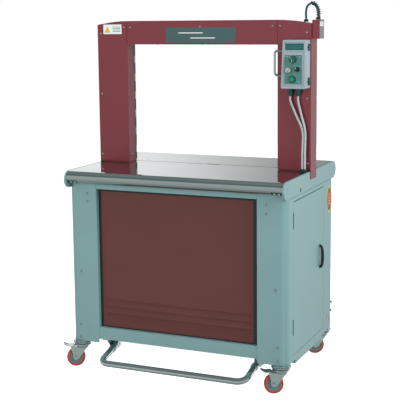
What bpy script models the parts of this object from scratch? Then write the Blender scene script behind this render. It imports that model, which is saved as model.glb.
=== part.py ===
"""Arch strapping machine on casters: frame, covers, table, arch, controls and inner works.

The machine stands on the floor (z = 0). +X is its right, +Y its back, +Z is up. Everything is
placed about the middle of the table, and a root empty then moves the whole machine so that the
origin lies on the floor, under the middle of the machine's own box.
"""
from math import atan2, cos, pi, radians, sin, tan

import bmesh
import bpy
from mathutils import Matrix, Vector

# ---------------------------------------------------------------- driving sizes, in metres
GAP = 0.0005            # between pieces that are bolted or laid together
SLIT = 0.001            # round doors and between moving plates
SHEET = 0.002           # cabinet sheet
COVER = 0.0015          # arch cover sheet

ARCH_CLEAR_WIDTH = 0.650
ARCH_CLEAR_HEIGHT = 0.488
ARCH_COLUMN = 0.1355    # width of each column, seen from the front
ARCH_BEAM = 0.095       # height of the top beam
ARCH_SHOULDER = 0.080   # beam height left at the outer corners
ARCH_FRONT = -0.022
ARCH_DEPTH = 0.074
CHUTE_WIDTH = 0.014     # strap guide, front to back
CHUTE_THICK = 0.020

TABLE_HEIGHT = 0.810
TABLE_DEPTH = 0.662
TABLE_EDGE = 0.068      # height of the end plates
END_PLATE = 0.008
PLATE_EDGE = 0.048      # height of the rolled front edge
PLATE_SHEET = 0.003
TABLE_SEAM = 0.046      # where the strap runs, front to back
HINGE_INSET = 0.002     # rolled edge behind the end plate's round end
HEAD_SLOT = (-0.004, 0.052)     # opening for the sealing head, left to right
LATCH_Y = -0.139
LATCH_RADIUS = 0.0045
LATCH_LENGTH = 0.018

CABINET_BOTTOM = 0.112
PILLAR = 0.122          # width of the front and rear faces of each side shell
PILLAR_RADIUS = 0.028
PANEL_RECESS = 0.022
PANEL_GAP = 0.008       # right of the front panel

BASE_BOTTOM = 0.127
BASE_TOP = 0.176
BASE_RAIL = 0.038       # width of the base tubes
TOP_RAIL = 0.020        # height of the top ring
POST = 0.026

DOOR_BOTTOM = 0.135
DOOR_PAN = 0.012        # depth of the door's folded edge
PULL_LENGTH = 0.091
PULL_BOTTOM = 0.403
PULL_REACH = 0.022
PULL_THICK = 0.007      # half the width, and about the thickness, of the pull

WHEEL_RADIUS = 0.0375
WHEEL_WIDTH = 0.024
AXLE_RADIUS = 0.004
CASTER_TRAIL = 0.028
CASTER_HEADING = radians(204)   # the way the wheels trail, from +X towards +Y
PEDAL_REACH = 0.078
PAD_REACH = 0.045       # caster pad, each way from the pivot
PAD_INSET = 0.010       # clear of the cabinet's round corner
FORK_SHEET = 0.0025
FORK_ROOM = 0.0015      # between the wheel and each fork leg

FOOT_TUBE = 0.0125      # radius
FOOT_HEIGHT = 0.060
FOOT_PIVOT_Z = 0.095
FOOT_BEND = 0.036
FOOT_PIN = 0.005

BOX_WIDTH = 0.0950      # control box
BOX_HEIGHT = 0.184
BOX_TAPER = 0.004       # each way on its left edge
BOX_DEPTH = 0.026
BOX_CORNER = 0.005
BOX_WALL = 0.003
LID_DEPTH = 0.030
LID_FACE = 0.014        # thickness of the lid's front, which holds the controls
LID_HINGE = 0.005       # hinge axis beyond the right edge
LID_SEAT = 0.002        # depth of the window's and the keypad's pockets
SPINDLE = 0.003
SPINDLE_LENGTH = 0.008
SPINDLE_HOLE = 0.012
BUTTON_TRAVEL = 0.004
GLAND_DROP = 0.030

JUNCTION_REACH = 0.029
CORD_COLLAR = 0.010
ARCH_GLAND_RISE = 0.0028        # clears the sloping shoulder

REEL_Y = -0.030
REEL_Z = 0.385
REEL_LEFT = 0.085
REEL_WIDTH = 0.196
REEL_RADIUS = 0.185
REEL_FLANGE = 0.003
CORE_RADIUS = 0.097
COIL_RADIUS = 0.165
SHAFT_RADIUS = 0.012
ROLLER_PIN = 0.005
FEED_RADIUS = 0.026
PRESS_RADIUS = 0.016
ROLLER_WIDTH = 0.018

CABLE_RADIUS = 0.0042
LOOP_RADIUS = 0.0042    # cord from the junction box into the arch

# ---------------------------------------------------------------- sizes that follow
ARCH_INNER = ARCH_CLEAR_WIDTH / 2
ARCH_OUTER = ARCH_INNER + ARCH_COLUMN
ARCH_UNDER = TABLE_HEIGHT + ARCH_CLEAR_HEIGHT
ARCH_TOP = ARCH_UNDER + ARCH_BEAM
ARCH_EDGE = ARCH_UNDER + ARCH_SHOULDER
ARCH_BACK = ARCH_FRONT + ARCH_DEPTH
CHUTE_FRONT = ARCH_BACK - CHUTE_WIDTH
END_OUTER = ARCH_OUTER - COVER - GAP        # end plates stand just inside the hanging covers
END_INNER = END_OUTER - END_PLATE
END_BOTTOM = TABLE_HEIGHT - TABLE_EDGE
END_RADIUS = TABLE_EDGE / 2 - 0.0001
NOSE = PLATE_EDGE / 2
HINGE_Y = TABLE_DEPTH / 2 - NOSE - HINGE_INSET
HINGE_Z = TABLE_HEIGHT - NOSE
PLATE_X = END_INNER - SLIT
LATCH = (LATCH_Y, TABLE_HEIGHT - 0.053)

CABINET_SIDE = ARCH_OUTER - 0.0015
CABINET_FACE = TABLE_DEPTH / 2 - 0.040
CABINET_TOP = TABLE_HEIGHT - 0.0485
PILLAR_X = CABINET_SIDE - PILLAR
FRAME_SIDE = CABINET_SIDE - SHEET - GAP
FRAME_FACE = CABINET_FACE - SHEET - GAP
FRAME_TOP = CABINET_TOP - SHEET
TOP_SIDE = END_INNER - SLIT                     # the top ring stands inside the end plates
BASE_SIDE = CABINET_SIDE - DOOR_PAN - SHEET     # the base tubes stand inside the doors' folded edges
FLOOR_TOP = BASE_BOTTOM + 0.013
PAD_BOTTOM = CABINET_BOTTOM + 0.001
PANEL_LEFT = GAP - PILLAR_X + 0.002
DOOR_FRONT = 0.069 - CABINET_FACE
DOOR_BACK = CABINET_FACE - 0.127
DOOR_TOP = CABINET_TOP - 0.0375
PULL_Y = DOOR_BACK - 0.054

AXLE_Z = WHEEL_RADIUS
FORK_HALF = WHEEL_WIDTH / 2 + FORK_ROOM
FORK_OUTER = FORK_HALF + FORK_SHEET
CASTER_X = CABINET_SIDE - 0.032
CASTER_FRONT = 0.021 - CABINET_FACE
CASTER_BACK = CABINET_FACE - 0.041

FOOT_LEFT = 0.045 - PILLAR_X
FOOT_RIGHT = PILLAR_X - 0.019
FOOT_FRONT = -CABINET_FACE - 0.084
FOOT_PIVOT_Y = 0.066 - CABINET_FACE

BOX_LEFT = ARCH_INNER + 0.037
BOX_RIGHT = BOX_LEFT + BOX_WIDTH
BOX_BOTTOM = ARCH_UNDER - 0.165
BOX_TOP = BOX_BOTTOM + BOX_HEIGHT
BOX_BACK = ARCH_FRONT - GAP
BOX_FRONT = BOX_BACK - BOX_DEPTH
LID_BACK = BOX_FRONT - SLIT
LID_FRONT = LID_BACK - LID_DEPTH
WINDOW = ((BOX_LEFT + 0.013, BOX_LEFT + 0.0875), (BOX_BOTTOM + 0.146, BOX_BOTTOM + 0.1715))
KEYPAD = ((BOX_LEFT + 0.0115, BOX_LEFT + 0.0805), (BOX_BOTTOM + 0.018, BOX_BOTTOM + 0.1275))
KNOBS = {       # x, z, radius, depth
    "dial_knob": (BOX_LEFT + 0.045, BOX_BOTTOM + 0.111, 0.0145, 0.016),
    "selector_left": (BOX_LEFT + 0.0265, BOX_BOTTOM + 0.072, 0.0125, 0.018),
    "selector_right": (BOX_LEFT + 0.0625, BOX_BOTTOM + 0.074, 0.009, 0.016),
    "start_button": (BOX_LEFT + 0.042, BOX_BOTTOM + 0.036, 0.010, 0.009),
}
GLAND_Y = BOX_BACK - BOX_DEPTH / 2
GLANDS = {"gland_left": (BOX_LEFT + 0.020, GLAND_Y), "gland_right": (BOX_LEFT + 0.0515, GLAND_Y)}
GROMMET_X = ARCH_OUTER - 0.0225
GROMMET_Y = ARCH_FRONT - 0.020
CORNER_X = GROMMET_X - 0.022    # left edge of the fixed corner plate under the cables
CORNER_FRONT = GROMMET_Y - 0.020

JUNCTION_Y = (ARCH_FRONT + 0.007, ARCH_FRONT + 0.067)
JUNCTION_Z = (ARCH_TOP - 0.073, ARCH_TOP - 0.001)
CORD_BOX = (ARCH_OUTER + 0.015, ARCH_FRONT + 0.040)     # where the cord leaves the junction box
CORD_ARCH = (ARCH_OUTER - 0.0345, ARCH_FRONT + 0.044)   # where it enters the arch's top

REEL_RIGHT = REEL_LEFT + REEL_WIDTH
SHELF = TABLE_HEIGHT - 0.195    # top of the two beams that carry the head
SHELF_DEPTH = 0.030
ROLLER_Z = SHELF + 0.037
ROLLERS = {"feed_roller": TABLE_SEAM - 0.012,
           "pressure_roller": TABLE_SEAM - 0.012 + FEED_RADIUS + PRESS_RADIUS + SLIT}


# ---------------------------------------------------------------- materials
def material(name, colour, roughness, metallic=0.0):
    """Return a Principled material."""
    made = bpy.data.materials.new(name)
    made.use_nodes = True
    shader = made.node_tree.nodes["Principled BSDF"]
    shader.inputs["Base Color"].default_value = (*colour, 1.0)
    shader.inputs["Roughness"].default_value = roughness
    shader.inputs["Metallic"].default_value = metallic
    made.diffuse_color = (*colour, 1.0)
    return made


# ---------------------------------------------------------------- shaping tools
AXES = {"X": (1, 2, 0), "Y": (0, 2, 1), "Z": (0, 1, 2)}


def start():
    """Empty the scene."""
    for thing in list(bpy.data.objects):
        bpy.data.objects.remove(thing, do_unlink=True)


def add(name, mesh):
    """Put a mesh in the scene as a named object."""
    made = bpy.data.objects.new(name, mesh)
    bpy.context.scene.collection.objects.link(made)
    return made


def from_bmesh(name, shape):
    """Finish a bmesh with its faces pointing out, and add it."""
    bmesh.ops.recalc_face_normals(shape, faces=shape.faces)
    mesh = bpy.data.meshes.new(name)
    shape.to_mesh(mesh)
    shape.free()
    return add(name, mesh)


def rounded(corners, steps=5):
    """Turn corners given as (u, v, radius) into an outline with arcs."""
    outline = []
    for index, (u, v, radius) in enumerate(corners):
        corner = Vector((u, v))
        if radius == 0:
            outline.append(corner)
            continue
        back = (Vector(corners[index - 1][:2]) - corner).normalized()
        ahead = (Vector(corners[(index + 1) % len(corners)][:2]) - corner).normalized()
        half = back.angle(ahead) / 2
        centre = corner + (back + ahead).normalized() * radius / sin(half)
        first = corner + back * radius / tan(half) - centre
        last = corner + ahead * radius / tan(half) - centre
        begin = atan2(first.y, first.x)
        sweep = (atan2(last.y, last.x) - begin + pi) % (2 * pi) - pi
        for step in range(steps + 1):
            angle = begin + sweep * step / steps
            outline.append(centre + radius * Vector((cos(angle), sin(angle))))
    return outline


def prism(name, outline, axis, low, high):
    """Extrude an outline along X (outline in Y, Z), Y (in X, Z) or Z (in X, Y)."""
    first, second, along = AXES[axis]
    shape = bmesh.new()
    corners = []
    for u, v in outline:
        place = [0.0, 0.0, 0.0]
        place[first] = u
        place[second] = v
        place[along] = low
        corners.append(shape.verts.new(place))
    face = shape.faces.new(corners)
    grown = bmesh.ops.extrude_face_region(shape, geom=[face])
    moved = [item for item in grown["geom"] if isinstance(item, bmesh.types.BMVert)]
    shift = Vector((0.0, 0.0, 0.0))
    shift[along] = high - low
    bmesh.ops.translate(shape, verts=moved, vec=shift)
    return from_bmesh(name, shape)


def block(name, x, y, z):
    """Make a box from its low and high x, y and z."""
    return prism(name, [(x[0], y[0]), (x[1], y[0]), (x[1], y[1]), (x[0], y[1])], "Z", *z)


def rod(name, radius, begin, end, sides=24):
    """Make a round bar between two points."""
    begin = Vector(begin)
    line = Vector(end) - begin
    shape = bmesh.new()
    turn = line.to_track_quat("Z", "Y").to_matrix().to_4x4()
    bmesh.ops.create_cone(shape, cap_ends=True, segments=sides, radius1=radius, radius2=radius,
                          depth=line.length, matrix=Matrix.Translation(begin + line / 2) @ turn)
    return from_bmesh(name, shape)


def turned(name, profile, centre, axis, sides=32, ring=False):
    """Turn a profile of (radius, along) points about an axis through centre."""
    shape = bmesh.new()
    dots = [shape.verts.new((radius, 0.0, along)) for radius, along in profile]
    edges = [shape.edges.new(pair) for pair in zip(dots, dots[1:])]
    if ring:
        edges.append(shape.edges.new((dots[-1], dots[0])))
    bmesh.ops.spin(shape, geom=dots + edges, cent=(0, 0, 0), axis=(0, 0, 1), angle=2 * pi,
                   steps=sides, use_merge=True)
    bmesh.ops.remove_doubles(shape, verts=shape.verts, dist=1e-6)
    turn = Vector(axis).to_track_quat("Z", "Y").to_matrix().to_4x4()
    bmesh.ops.transform(shape, matrix=Matrix.Translation(centre) @ turn, verts=shape.verts)
    return from_bmesh(name, shape)


def boolean(operation, target, tools):
    """Join or cut an object with others, which are used up."""
    for tool in tools:
        step = target.modifiers.new(operation.title(), "BOOLEAN")
        step.operation = operation
        step.object = tool
    graph = bpy.context.evaluated_depsgraph_get()
    target.data = bpy.data.meshes.new_from_object(target.evaluated_get(graph))
    target.modifiers.clear()
    for tool in tools:
        bpy.data.objects.remove(tool, do_unlink=True)
    return target


def join(target, *tools):
    """Weld other solids to this one."""
    return boolean("UNION", target, tools)


def cut(target, *tools):
    """Take other solids away from this one."""
    return boolean("DIFFERENCE", target, tools)


def soften(target, width=0.001, segments=2):
    """Round the sharp edges of a piece."""
    step = target.modifiers.new("Edges", "BEVEL")
    step.width = width
    step.segments = segments
    step.limit_method = "ANGLE"
    step.angle_limit = radians(40)
    return target


def mirrored(source, name):
    """Copy a right-hand piece to the left side."""
    shape = bmesh.new()
    shape.from_mesh(source.data)
    bmesh.ops.translate(shape, verts=shape.verts, vec=source.location)
    bmesh.ops.scale(shape, vec=(-1, 1, 1), verts=shape.verts)
    return from_bmesh(name, shape)


def smooth_path(points, spacing):
    """Read evenly spaced points from a smooth curve through the given ones."""
    points = [Vector(point) for point in points]
    dense = []
    for index in range(len(points) - 1):
        before = points[max(index - 1, 0)]
        here, there = points[index], points[index + 1]
        after = points[min(index + 2, len(points) - 1)]
        for step in range(24):
            t = step / 24
            dense.append(0.5 * (2 * here + (there - before) * t
                                + (2 * before - 5 * here + 4 * there - after) * t ** 2
                                + (3 * here - before - 3 * there + after) * t ** 3))
    dense.append(points[-1])
    total = sum((b - a).length for a, b in zip(dense, dense[1:]))
    count = max(2, round(total / spacing))
    even = [dense[0]]
    walked = 0.0
    for a, b in zip(dense, dense[1:]):
        walked += (b - a).length
        if walked >= len(even) * total / count and len(even) < count:
            even.append(b)
    even.append(dense[-1])
    return even


def tube(name, points, radius, resolution=2):
    """Make a round tube with filled caps through the points."""
    curve = bpy.data.curves.new(name, "CURVE")
    curve.dimensions = "3D"
    curve.bevel_depth = radius
    curve.bevel_resolution = resolution
    curve.use_fill_caps = True
    line = curve.splines.new("POLY")
    line.points.add(len(points) - 1)
    for dot, place in zip(line.points, points):
        dot.co = (*place, 1.0)
    return add(name, curve)


def solid_tube(name, points, radius, resolution=2):
    """Make a tube as a mesh that can be joined and cut."""
    guide = tube(name + "_line", points, radius, resolution)
    graph = bpy.context.evaluated_depsgraph_get()
    mesh = bpy.data.meshes.new_from_object(guide.evaluated_get(graph))
    bpy.data.objects.remove(guide, do_unlink=True)
    shape = bmesh.new()
    shape.from_mesh(mesh)
    bmesh.ops.remove_doubles(shape, verts=shape.verts, dist=1e-6)
    return from_bmesh(name, shape)


def set_origin(target, place):
    """Move a piece's origin to its joint without moving its shape."""
    target.data.transform(Matrix.Translation(-Vector(place)))
    target.location = place
    return target


# ---------------------------------------------------------------- cabinet frame
def base_frame():
    """Bottom ring of tubes with its floor sheet, caster pads and two low side rails."""
    corner = PILLAR_RADIUS - SHEET
    ring = prism("base_frame", rounded([(-BASE_SIDE, -FRAME_FACE, corner), (BASE_SIDE, -FRAME_FACE, corner),
                                        (BASE_SIDE, FRAME_FACE, corner), (-BASE_SIDE, FRAME_FACE, corner)]),
                 "Z", BASE_BOTTOM, BASE_TOP)
    cut(ring, block("hole", (BASE_RAIL - BASE_SIDE, BASE_SIDE - BASE_RAIL),
                    (BASE_RAIL - FRAME_FACE, FRAME_FACE - BASE_RAIL), (BASE_BOTTOM - 0.01, BASE_TOP + 0.01)))
    pads = []
    for side in (-1, 1):
        for middle in (CASTER_FRONT, CASTER_BACK):
            near, far = sorted((side * (BASE_SIDE - 0.080), side * BASE_SIDE))
            low = max(middle - PAD_REACH, PAD_INSET - FRAME_FACE)
            high = min(middle + PAD_REACH, FRAME_FACE - PAD_INSET)
            pads.append(block("pad", (near, far), (low, high), (PAD_BOTTOM, BASE_BOTTOM + 0.006)))
        near, far = sorted((side * (FRAME_SIDE - 0.022), side * (FRAME_SIDE - 0.006)))
        pads.append(block("rail", (near, far), (CASTER_FRONT + 0.100, CASTER_BACK - 0.070),
                          (BASE_BOTTOM - 0.040, BASE_BOTTOM + 0.006)))
    across = BASE_SIDE - BASE_RAIL + 0.003
    deep = FRAME_FACE - BASE_RAIL + 0.003
    pads.append(block("floor", (-across, across), (-deep, deep), (FLOOR_TOP - 0.003, FLOOR_TOP)))
    return join(ring, *pads)


def upper_frame():
    """Four posts, the top ring and the two beams that carry the sealing head."""
    ring_low = FRAME_TOP - TOP_RAIL
    frame = block("upper_frame", (-TOP_SIDE, TOP_SIDE), (-FRAME_FACE, FRAME_FACE), (ring_low, FRAME_TOP))
    cut(frame, block("hole", (BASE_RAIL - FRAME_SIDE, FRAME_SIDE - BASE_RAIL),
                     (BASE_RAIL - FRAME_FACE, FRAME_FACE - BASE_RAIL), (ring_low - 0.01, FRAME_TOP + 0.01)))
    inside = rounded([(-FRAME_SIDE, -FRAME_FACE, PILLAR_RADIUS), (FRAME_SIDE, -FRAME_FACE, PILLAR_RADIUS),
                      (FRAME_SIDE, FRAME_FACE, PILLAR_RADIUS), (-FRAME_SIDE, FRAME_FACE, PILLAR_RADIUS)])
    bars = []
    for side in (-1, 1):
        near, far = sorted((side * (FRAME_SIDE - 0.012), side * (FRAME_SIDE - 0.012 - POST)))
        for face in (-1, 1):
            low, high = sorted((face * (FRAME_FACE - 0.012), face * (FRAME_FACE - 0.012 - POST)))
            bars.append(block("post", (near, far), (low, high), (BASE_TOP + GAP, ring_low + 0.004)))
    reach = FRAME_SIDE - 0.012 - POST / 2
    for middle in (-0.045, 0.115):
        bars.append(block("beam", (-reach, reach), (middle - 0.015, middle + 0.015),
                          (SHELF - SHELF_DEPTH, SHELF)))
    for side in (-1, 1):
        near, far = sorted((side * (reach - 0.012), side * (reach + 0.012)))
        bars.append(block("tie", (near, far), (POST - FRAME_FACE, FRAME_FACE - POST),
                          (SHELF - SHELF_DEPTH + 0.003, SHELF - 0.003)))
    join(frame, *bars)
    keep = prism("keep", inside, "Z", BASE_TOP, FRAME_TOP + 0.01)
    boolean("INTERSECT", frame, [keep])
    return cut(frame, latch_bore(LATCH_RADIUS + 2 * SLIT))


def side_shell():
    """Right side of the cabinet: one folded sheet with its doorway."""
    inner = PILLAR_RADIUS - SHEET
    lip = CABINET_FACE - PANEL_RECESS - 0.006
    outline = rounded([(PILLAR_X, -lip, 0), (PILLAR_X, -CABINET_FACE, 0.004),
                       (CABINET_SIDE, -CABINET_FACE, PILLAR_RADIUS),
                       (CABINET_SIDE, CABINET_FACE, PILLAR_RADIUS),
                       (PILLAR_X, CABINET_FACE, 0.004), (PILLAR_X, lip, 0), (PILLAR_X + SHEET, lip, 0),
                       (PILLAR_X + SHEET, CABINET_FACE - SHEET, 0.002),
                       (CABINET_SIDE - SHEET, CABINET_FACE - SHEET, inner),
                       (CABINET_SIDE - SHEET, SHEET - CABINET_FACE, inner),
                       (PILLAR_X + SHEET, SHEET - CABINET_FACE, 0.002), (PILLAR_X + SHEET, -lip, 0)])
    shell = prism("right_side_shell", outline, "Z", CABINET_BOTTOM, CABINET_TOP)
    wide = (CABINET_SIDE - 0.02, CABINET_SIDE + 0.02)
    half = SLIT / 2
    cut(shell, block("end_plate_room", (TOP_SIDE, CABINET_SIDE + 0.02),
                     (-CABINET_FACE - 0.01, CABINET_FACE + 0.01), (END_BOTTOM - SLIT, CABINET_TOP + 0.01)),
        block("doorway", wide, (DOOR_FRONT - half, DOOR_BACK + half), (DOOR_BOTTOM - half, DOOR_TOP + half)))
    lip_x = (PILLAR_X - 0.01, PILLAR_X + SHEET + SLIT)
    ring_y = (-FRAME_FACE - SLIT, FRAME_FACE + SLIT)
    cut(shell, block("ring_slot", lip_x, ring_y, (CABINET_BOTTOM - 0.01, BASE_TOP + SLIT)),
        block("top_slot", lip_x, ring_y, (FRAME_TOP - TOP_RAIL - SLIT, CABINET_TOP + 0.01)))
    return shell


def side_door():
    """Right door: a folded pan hinged at its front edge."""
    low = (CABINET_SIDE - DOOR_PAN, DOOR_FRONT + SLIT / 2, DOOR_BOTTOM + SLIT / 2)
    high = (CABINET_SIDE, DOOR_BACK - SLIT / 2, DOOR_TOP - SLIT / 2)
    door = block("right_door", *zip(low, high))
    cut(door, block("pan", (low[0] - 0.01, high[0] - SHEET), (low[1] + SHEET, high[1] - SHEET),
                    (low[2] + SHEET, high[2] - SHEET)))
    return door


def door_handle():
    """Right door's bowed pull handle."""
    foot = CABINET_SIDE + GAP
    steps = 10
    bow = []
    for rise, reach in ((0.0, PULL_REACH), (0.006, PULL_REACH - 0.008)):
        span = (PULL_LENGTH - 2 * rise) / steps
        bow.append([(foot + reach * sin(pi * step / steps) ** 0.6, PULL_BOTTOM + rise + span * step)
                    for step in range(steps + 1)])
    return prism("right_door_handle", bow[0] + bow[1][::-1], "Y", PULL_Y - PULL_THICK, PULL_Y + PULL_THICK)


def front_panel():
    """Recessed front sheet between the pillars."""
    face = PANEL_RECESS - CABINET_FACE
    return block("front_panel", (PANEL_LEFT, PILLAR_X - PANEL_GAP),
                 (face, face + SHEET), (BASE_BOTTOM + 0.050, FRAME_TOP - TOP_RAIL - GAP))


def rear_panel():
    """Rear sheet between the rear pillars."""
    face = CABINET_FACE - PANEL_RECESS
    return block("rear_panel", (PANEL_LEFT, -PANEL_LEFT),
                 (face - SHEET, face), (BASE_BOTTOM + 0.050, FRAME_TOP - TOP_RAIL - GAP))


# ---------------------------------------------------------------- table
def plate_profile(seam):
    """Y, Z outline of a table plate: flat top, rolled edge and short return."""
    steps = 10
    inner = NOSE - PLATE_SHEET
    turns = [pi * step / steps for step in range(steps + 1)]
    arc = [(-HINGE_Y - NOSE * sin(turn), HINGE_Z + NOSE * cos(turn)) for turn in turns]
    back = [(-HINGE_Y - inner * sin(turn), HINGE_Z + inner * cos(turn)) for turn in turns]
    lip = 0.012 - HINGE_Y
    return [(seam, TABLE_HEIGHT)] + arc + [(lip, HINGE_Z - NOSE), (lip, HINGE_Z - inner)] + back[::-1] + [
        (seam, TABLE_HEIGHT - PLATE_SHEET)]


def column_notches(low, high):
    """Cutters that clear both columns."""
    room = 0.0015
    notches = []
    for side in (-1, 1):
        near, far = sorted((side * (ARCH_INNER - room), side * (ARCH_OUTER + 0.02)))
        notches.append(block("notch", (near, far), (low, high), (TABLE_HEIGHT - 0.02, TABLE_HEIGHT + 0.02)))
    return notches


def front_table_plate():
    """Hinged steel table plate in front of the strap line."""
    plate = prism("front_table_plate", plate_profile(TABLE_SEAM - SLIT), "X", -PLATE_X, PLATE_X)
    relief = []
    for side in (-1, 1):
        near, far = sorted((side * (PLATE_X - 0.045), side * (PLATE_X + 0.01)))
        relief.append(block("hinge_relief", (near, far), (-HINGE_Y - 0.1, 0.03 - HINGE_Y),
                            (HINGE_Z - 0.09, HINGE_Z - 0.012)))
    relief.append(block("cable_corner", (CORNER_X - SLIT, PLATE_X + 0.01), (CORNER_FRONT - SLIT, 0.0),
                        (TABLE_HEIGHT - 0.02, TABLE_HEIGHT + 0.02)))
    relief.append(block("head_slot", HEAD_SLOT, (TABLE_SEAM - 0.007, TABLE_SEAM + 0.01),
                        (TABLE_HEIGHT - 0.02, TABLE_HEIGHT + 0.02)))
    cut(plate, *column_notches(ARCH_FRONT - 0.0015, ARCH_BACK + 0.01), *relief)
    return set_origin(plate, (0, -HINGE_Y, HINGE_Z))


def rear_table_plate():
    """Hinged steel table plate behind the strap line."""
    outline = [(-y, z) for y, z in plate_profile(-TABLE_SEAM - SLIT)]
    plate = prism("rear_table_plate", outline, "X", -PLATE_X, PLATE_X)
    slot = block("head_slot", HEAD_SLOT, (TABLE_SEAM - 0.01, TABLE_SEAM + 0.007),
                 (TABLE_HEIGHT - 0.02, TABLE_HEIGHT + 0.02))
    cut(plate, *column_notches(TABLE_SEAM - 0.01, ARCH_BACK + 0.0015), slot)
    return set_origin(plate, (0, HINGE_Y, HINGE_Z))


def end_plate():
    """Right end of the table, with its hinge hubs."""
    deep = TABLE_DEPTH / 2
    outline = rounded([(-deep, END_BOTTOM, END_RADIUS), (deep, END_BOTTOM, END_RADIUS),
                       (deep, TABLE_HEIGHT, END_RADIUS), (-deep, TABLE_HEIGHT, END_RADIUS)], steps=6)
    plate = prism("right_end_plate", outline, "X", END_INNER, END_OUTER)
    root = END_INNER + END_PLATE / 2
    hubs = [rod("hub", 0.008, (END_INNER - 0.030, y, HINGE_Z), (root, y, HINGE_Z), 16)
            for y in (-HINGE_Y, HINGE_Y)]
    flange = block("flange", (FRAME_SIDE - 0.060, root), (0.091 - deep, deep - 0.091),
                   (FRAME_TOP + GAP, FRAME_TOP + GAP + 0.003))
    join(plate, *hubs, flange)
    return cut(plate, latch_bore(LATCH_RADIUS + SLIT))


def cable_corner_plate():
    """Fixed piece of the table top that the cables go through."""
    plate = block("cable_corner_plate", (CORNER_X, PLATE_X + SLIT - GAP), (CORNER_FRONT, ARCH_FRONT - SLIT),
                  (TABLE_HEIGHT - PLATE_SHEET, TABLE_HEIGHT))
    leg = block("leg", (PLATE_X - 0.008, PLATE_X + SLIT - GAP), (CORNER_FRONT + 0.004, ARCH_FRONT - 0.006),
                (FRAME_TOP + 0.004 + 2 * GAP, TABLE_HEIGHT - PLATE_SHEET / 2))
    return join(plate, leg)


def latch_bore(radius):
    """Cutter for the latch's way through the end plate and the top ring."""
    return rod("latch_bore", radius, (END_OUTER - 0.040, *LATCH), (END_OUTER + 0.010, *LATCH), 16)


def table_latch():
    """Push bolt in the right end plate that holds the front plate shut."""
    profile = [(0, 0), (LATCH_RADIUS, 0), (LATCH_RADIUS, LATCH_LENGTH - SLIT),
               (LATCH_RADIUS - SLIT, LATCH_LENGTH), (0, LATCH_LENGTH)]
    return turned("table_latch", profile, (END_OUTER - LATCH_LENGTH - SLIT, *LATCH), (1, 0, 0), 16)


# ---------------------------------------------------------------- arch
def arch_outline(outset, inset, foot):
    """X, Z outline of the arch: outset from the outer edge, inset from the opening."""
    steps = 5
    outer = ARCH_OUTER - outset
    inner = ARCH_INNER + inset
    right = []
    for step in range(steps + 1):
        share = step / steps
        x = outer - (outer - ARCH_INNER) * share
        right.append((x, ARCH_EDGE - outset + (ARCH_BEAM - ARCH_SHOULDER) * sin(share * pi / 2)))
    top = right + [(-x, z) for x, z in right[::-1]]
    return [(outer, foot)] + top + [(-outer, foot), (-inner, foot), (-inner, ARCH_UNDER + inset),
                                    (inner, ARCH_UNDER + inset), (inner, foot)]


def arch_frame():
    """Welded arch channel, open to the front behind its covers."""
    wall = 0.002
    skin = COVER + GAP
    foot = TABLE_HEIGHT + 0.003
    hull = prism("arch_frame", arch_outline(skin, 0, foot), "Y", ARCH_FRONT + skin, ARCH_BACK)
    pocket = CHUTE_THICK + GAP
    legs = []
    for side in (-1, 1):
        near, far = sorted((side * (ARCH_INNER + 0.002), side * (END_INNER - 0.003)))
        legs.append(block("leg", (near, far), (ARCH_FRONT + 0.004, ARCH_BACK - 0.002),
                          (FRAME_TOP + 0.004 + GAP, foot + 0.004)))
    hollow_front = prism("hollow_front", arch_outline(skin + wall, wall, foot + 0.004), "Y", ARCH_FRONT - 0.01,
                         CHUTE_FRONT - GAP - wall)
    hollow_back = prism("hollow_back", arch_outline(skin + wall, pocket + wall, foot + 0.004), "Y",
                        CHUTE_FRONT - GAP - 2 * wall, ARCH_BACK - wall)
    cut(hull, hollow_front, hollow_back)
    rim = opening_rim(-0.01, pocket, foot - 0.01)
    cut(hull, prism("chute_room", rim, "Y", CHUTE_FRONT - GAP, ARCH_BACK + 0.01))
    return join(hull, *legs)


def opening_rim(inset, outset, foot):
    """X, Z outline of a rim round the arch opening, from inset inside its edge to outset outside."""
    outer = ARCH_INNER + outset
    inner = ARCH_INNER + inset
    return [(outer, foot), (outer, ARCH_UNDER + outset), (-outer, ARCH_UNDER + outset), (-outer, foot),
            (-inner, foot), (-inner, ARCH_UNDER + inset), (inner, ARCH_UNDER + inset), (inner, foot)]


def strap_chute():
    """Black strap guide along the rear edge of the opening."""
    rim = opening_rim(0, CHUTE_THICK, TABLE_HEIGHT + 0.008)
    return prism("strap_chute", rim, "Y", CHUTE_FRONT, ARCH_BACK - SLIT)


def column_cover():
    """Right column's front cover with the side flap that hangs over the table's end."""
    seam = ARCH_INNER + SLIT / 2
    outline = [(max(x, seam), z) for x, z in arch_outline(0, 0, TABLE_HEIGHT + 0.006) if x > ARCH_INNER - SLIT]
    front = prism("right_column_cover", outline, "Y", ARCH_FRONT, ARCH_FRONT + COVER)
    flap = block("flap", (ARCH_OUTER - COVER, ARCH_OUTER), (ARCH_FRONT, ARCH_BACK),
                 (TABLE_HEIGHT - 0.031, ARCH_EDGE))
    return join(front, flap)


def beam_cover():
    """Front cover of the top beam."""
    seam = ARCH_INNER - SLIT / 2
    return block("beam_cover", (-seam, seam), (ARCH_FRONT, ARCH_FRONT + COVER), (ARCH_UNDER, ARCH_TOP))


# ---------------------------------------------------------------- controls
def box_outline(inset):
    """X, Z outline of the control box, a little wider at its foot."""
    left = BOX_LEFT + inset
    right = BOX_RIGHT - inset
    return rounded([(left - BOX_TAPER, BOX_BOTTOM + inset, BOX_CORNER), (right, BOX_BOTTOM + inset, BOX_CORNER),
                    (right, BOX_TOP - inset, BOX_CORNER), (left + BOX_TAPER, BOX_TOP - inset, BOX_CORNER)], 3)


def control_box_body():
    """Box behind the control lid, open at its front."""
    body = prism("control_box_body", box_outline(0), "Y", BOX_FRONT, BOX_BACK)
    return cut(body, prism("inside", box_outline(BOX_WALL), "Y", BOX_FRONT - 0.01, BOX_BACK - BOX_WALL))


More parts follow.
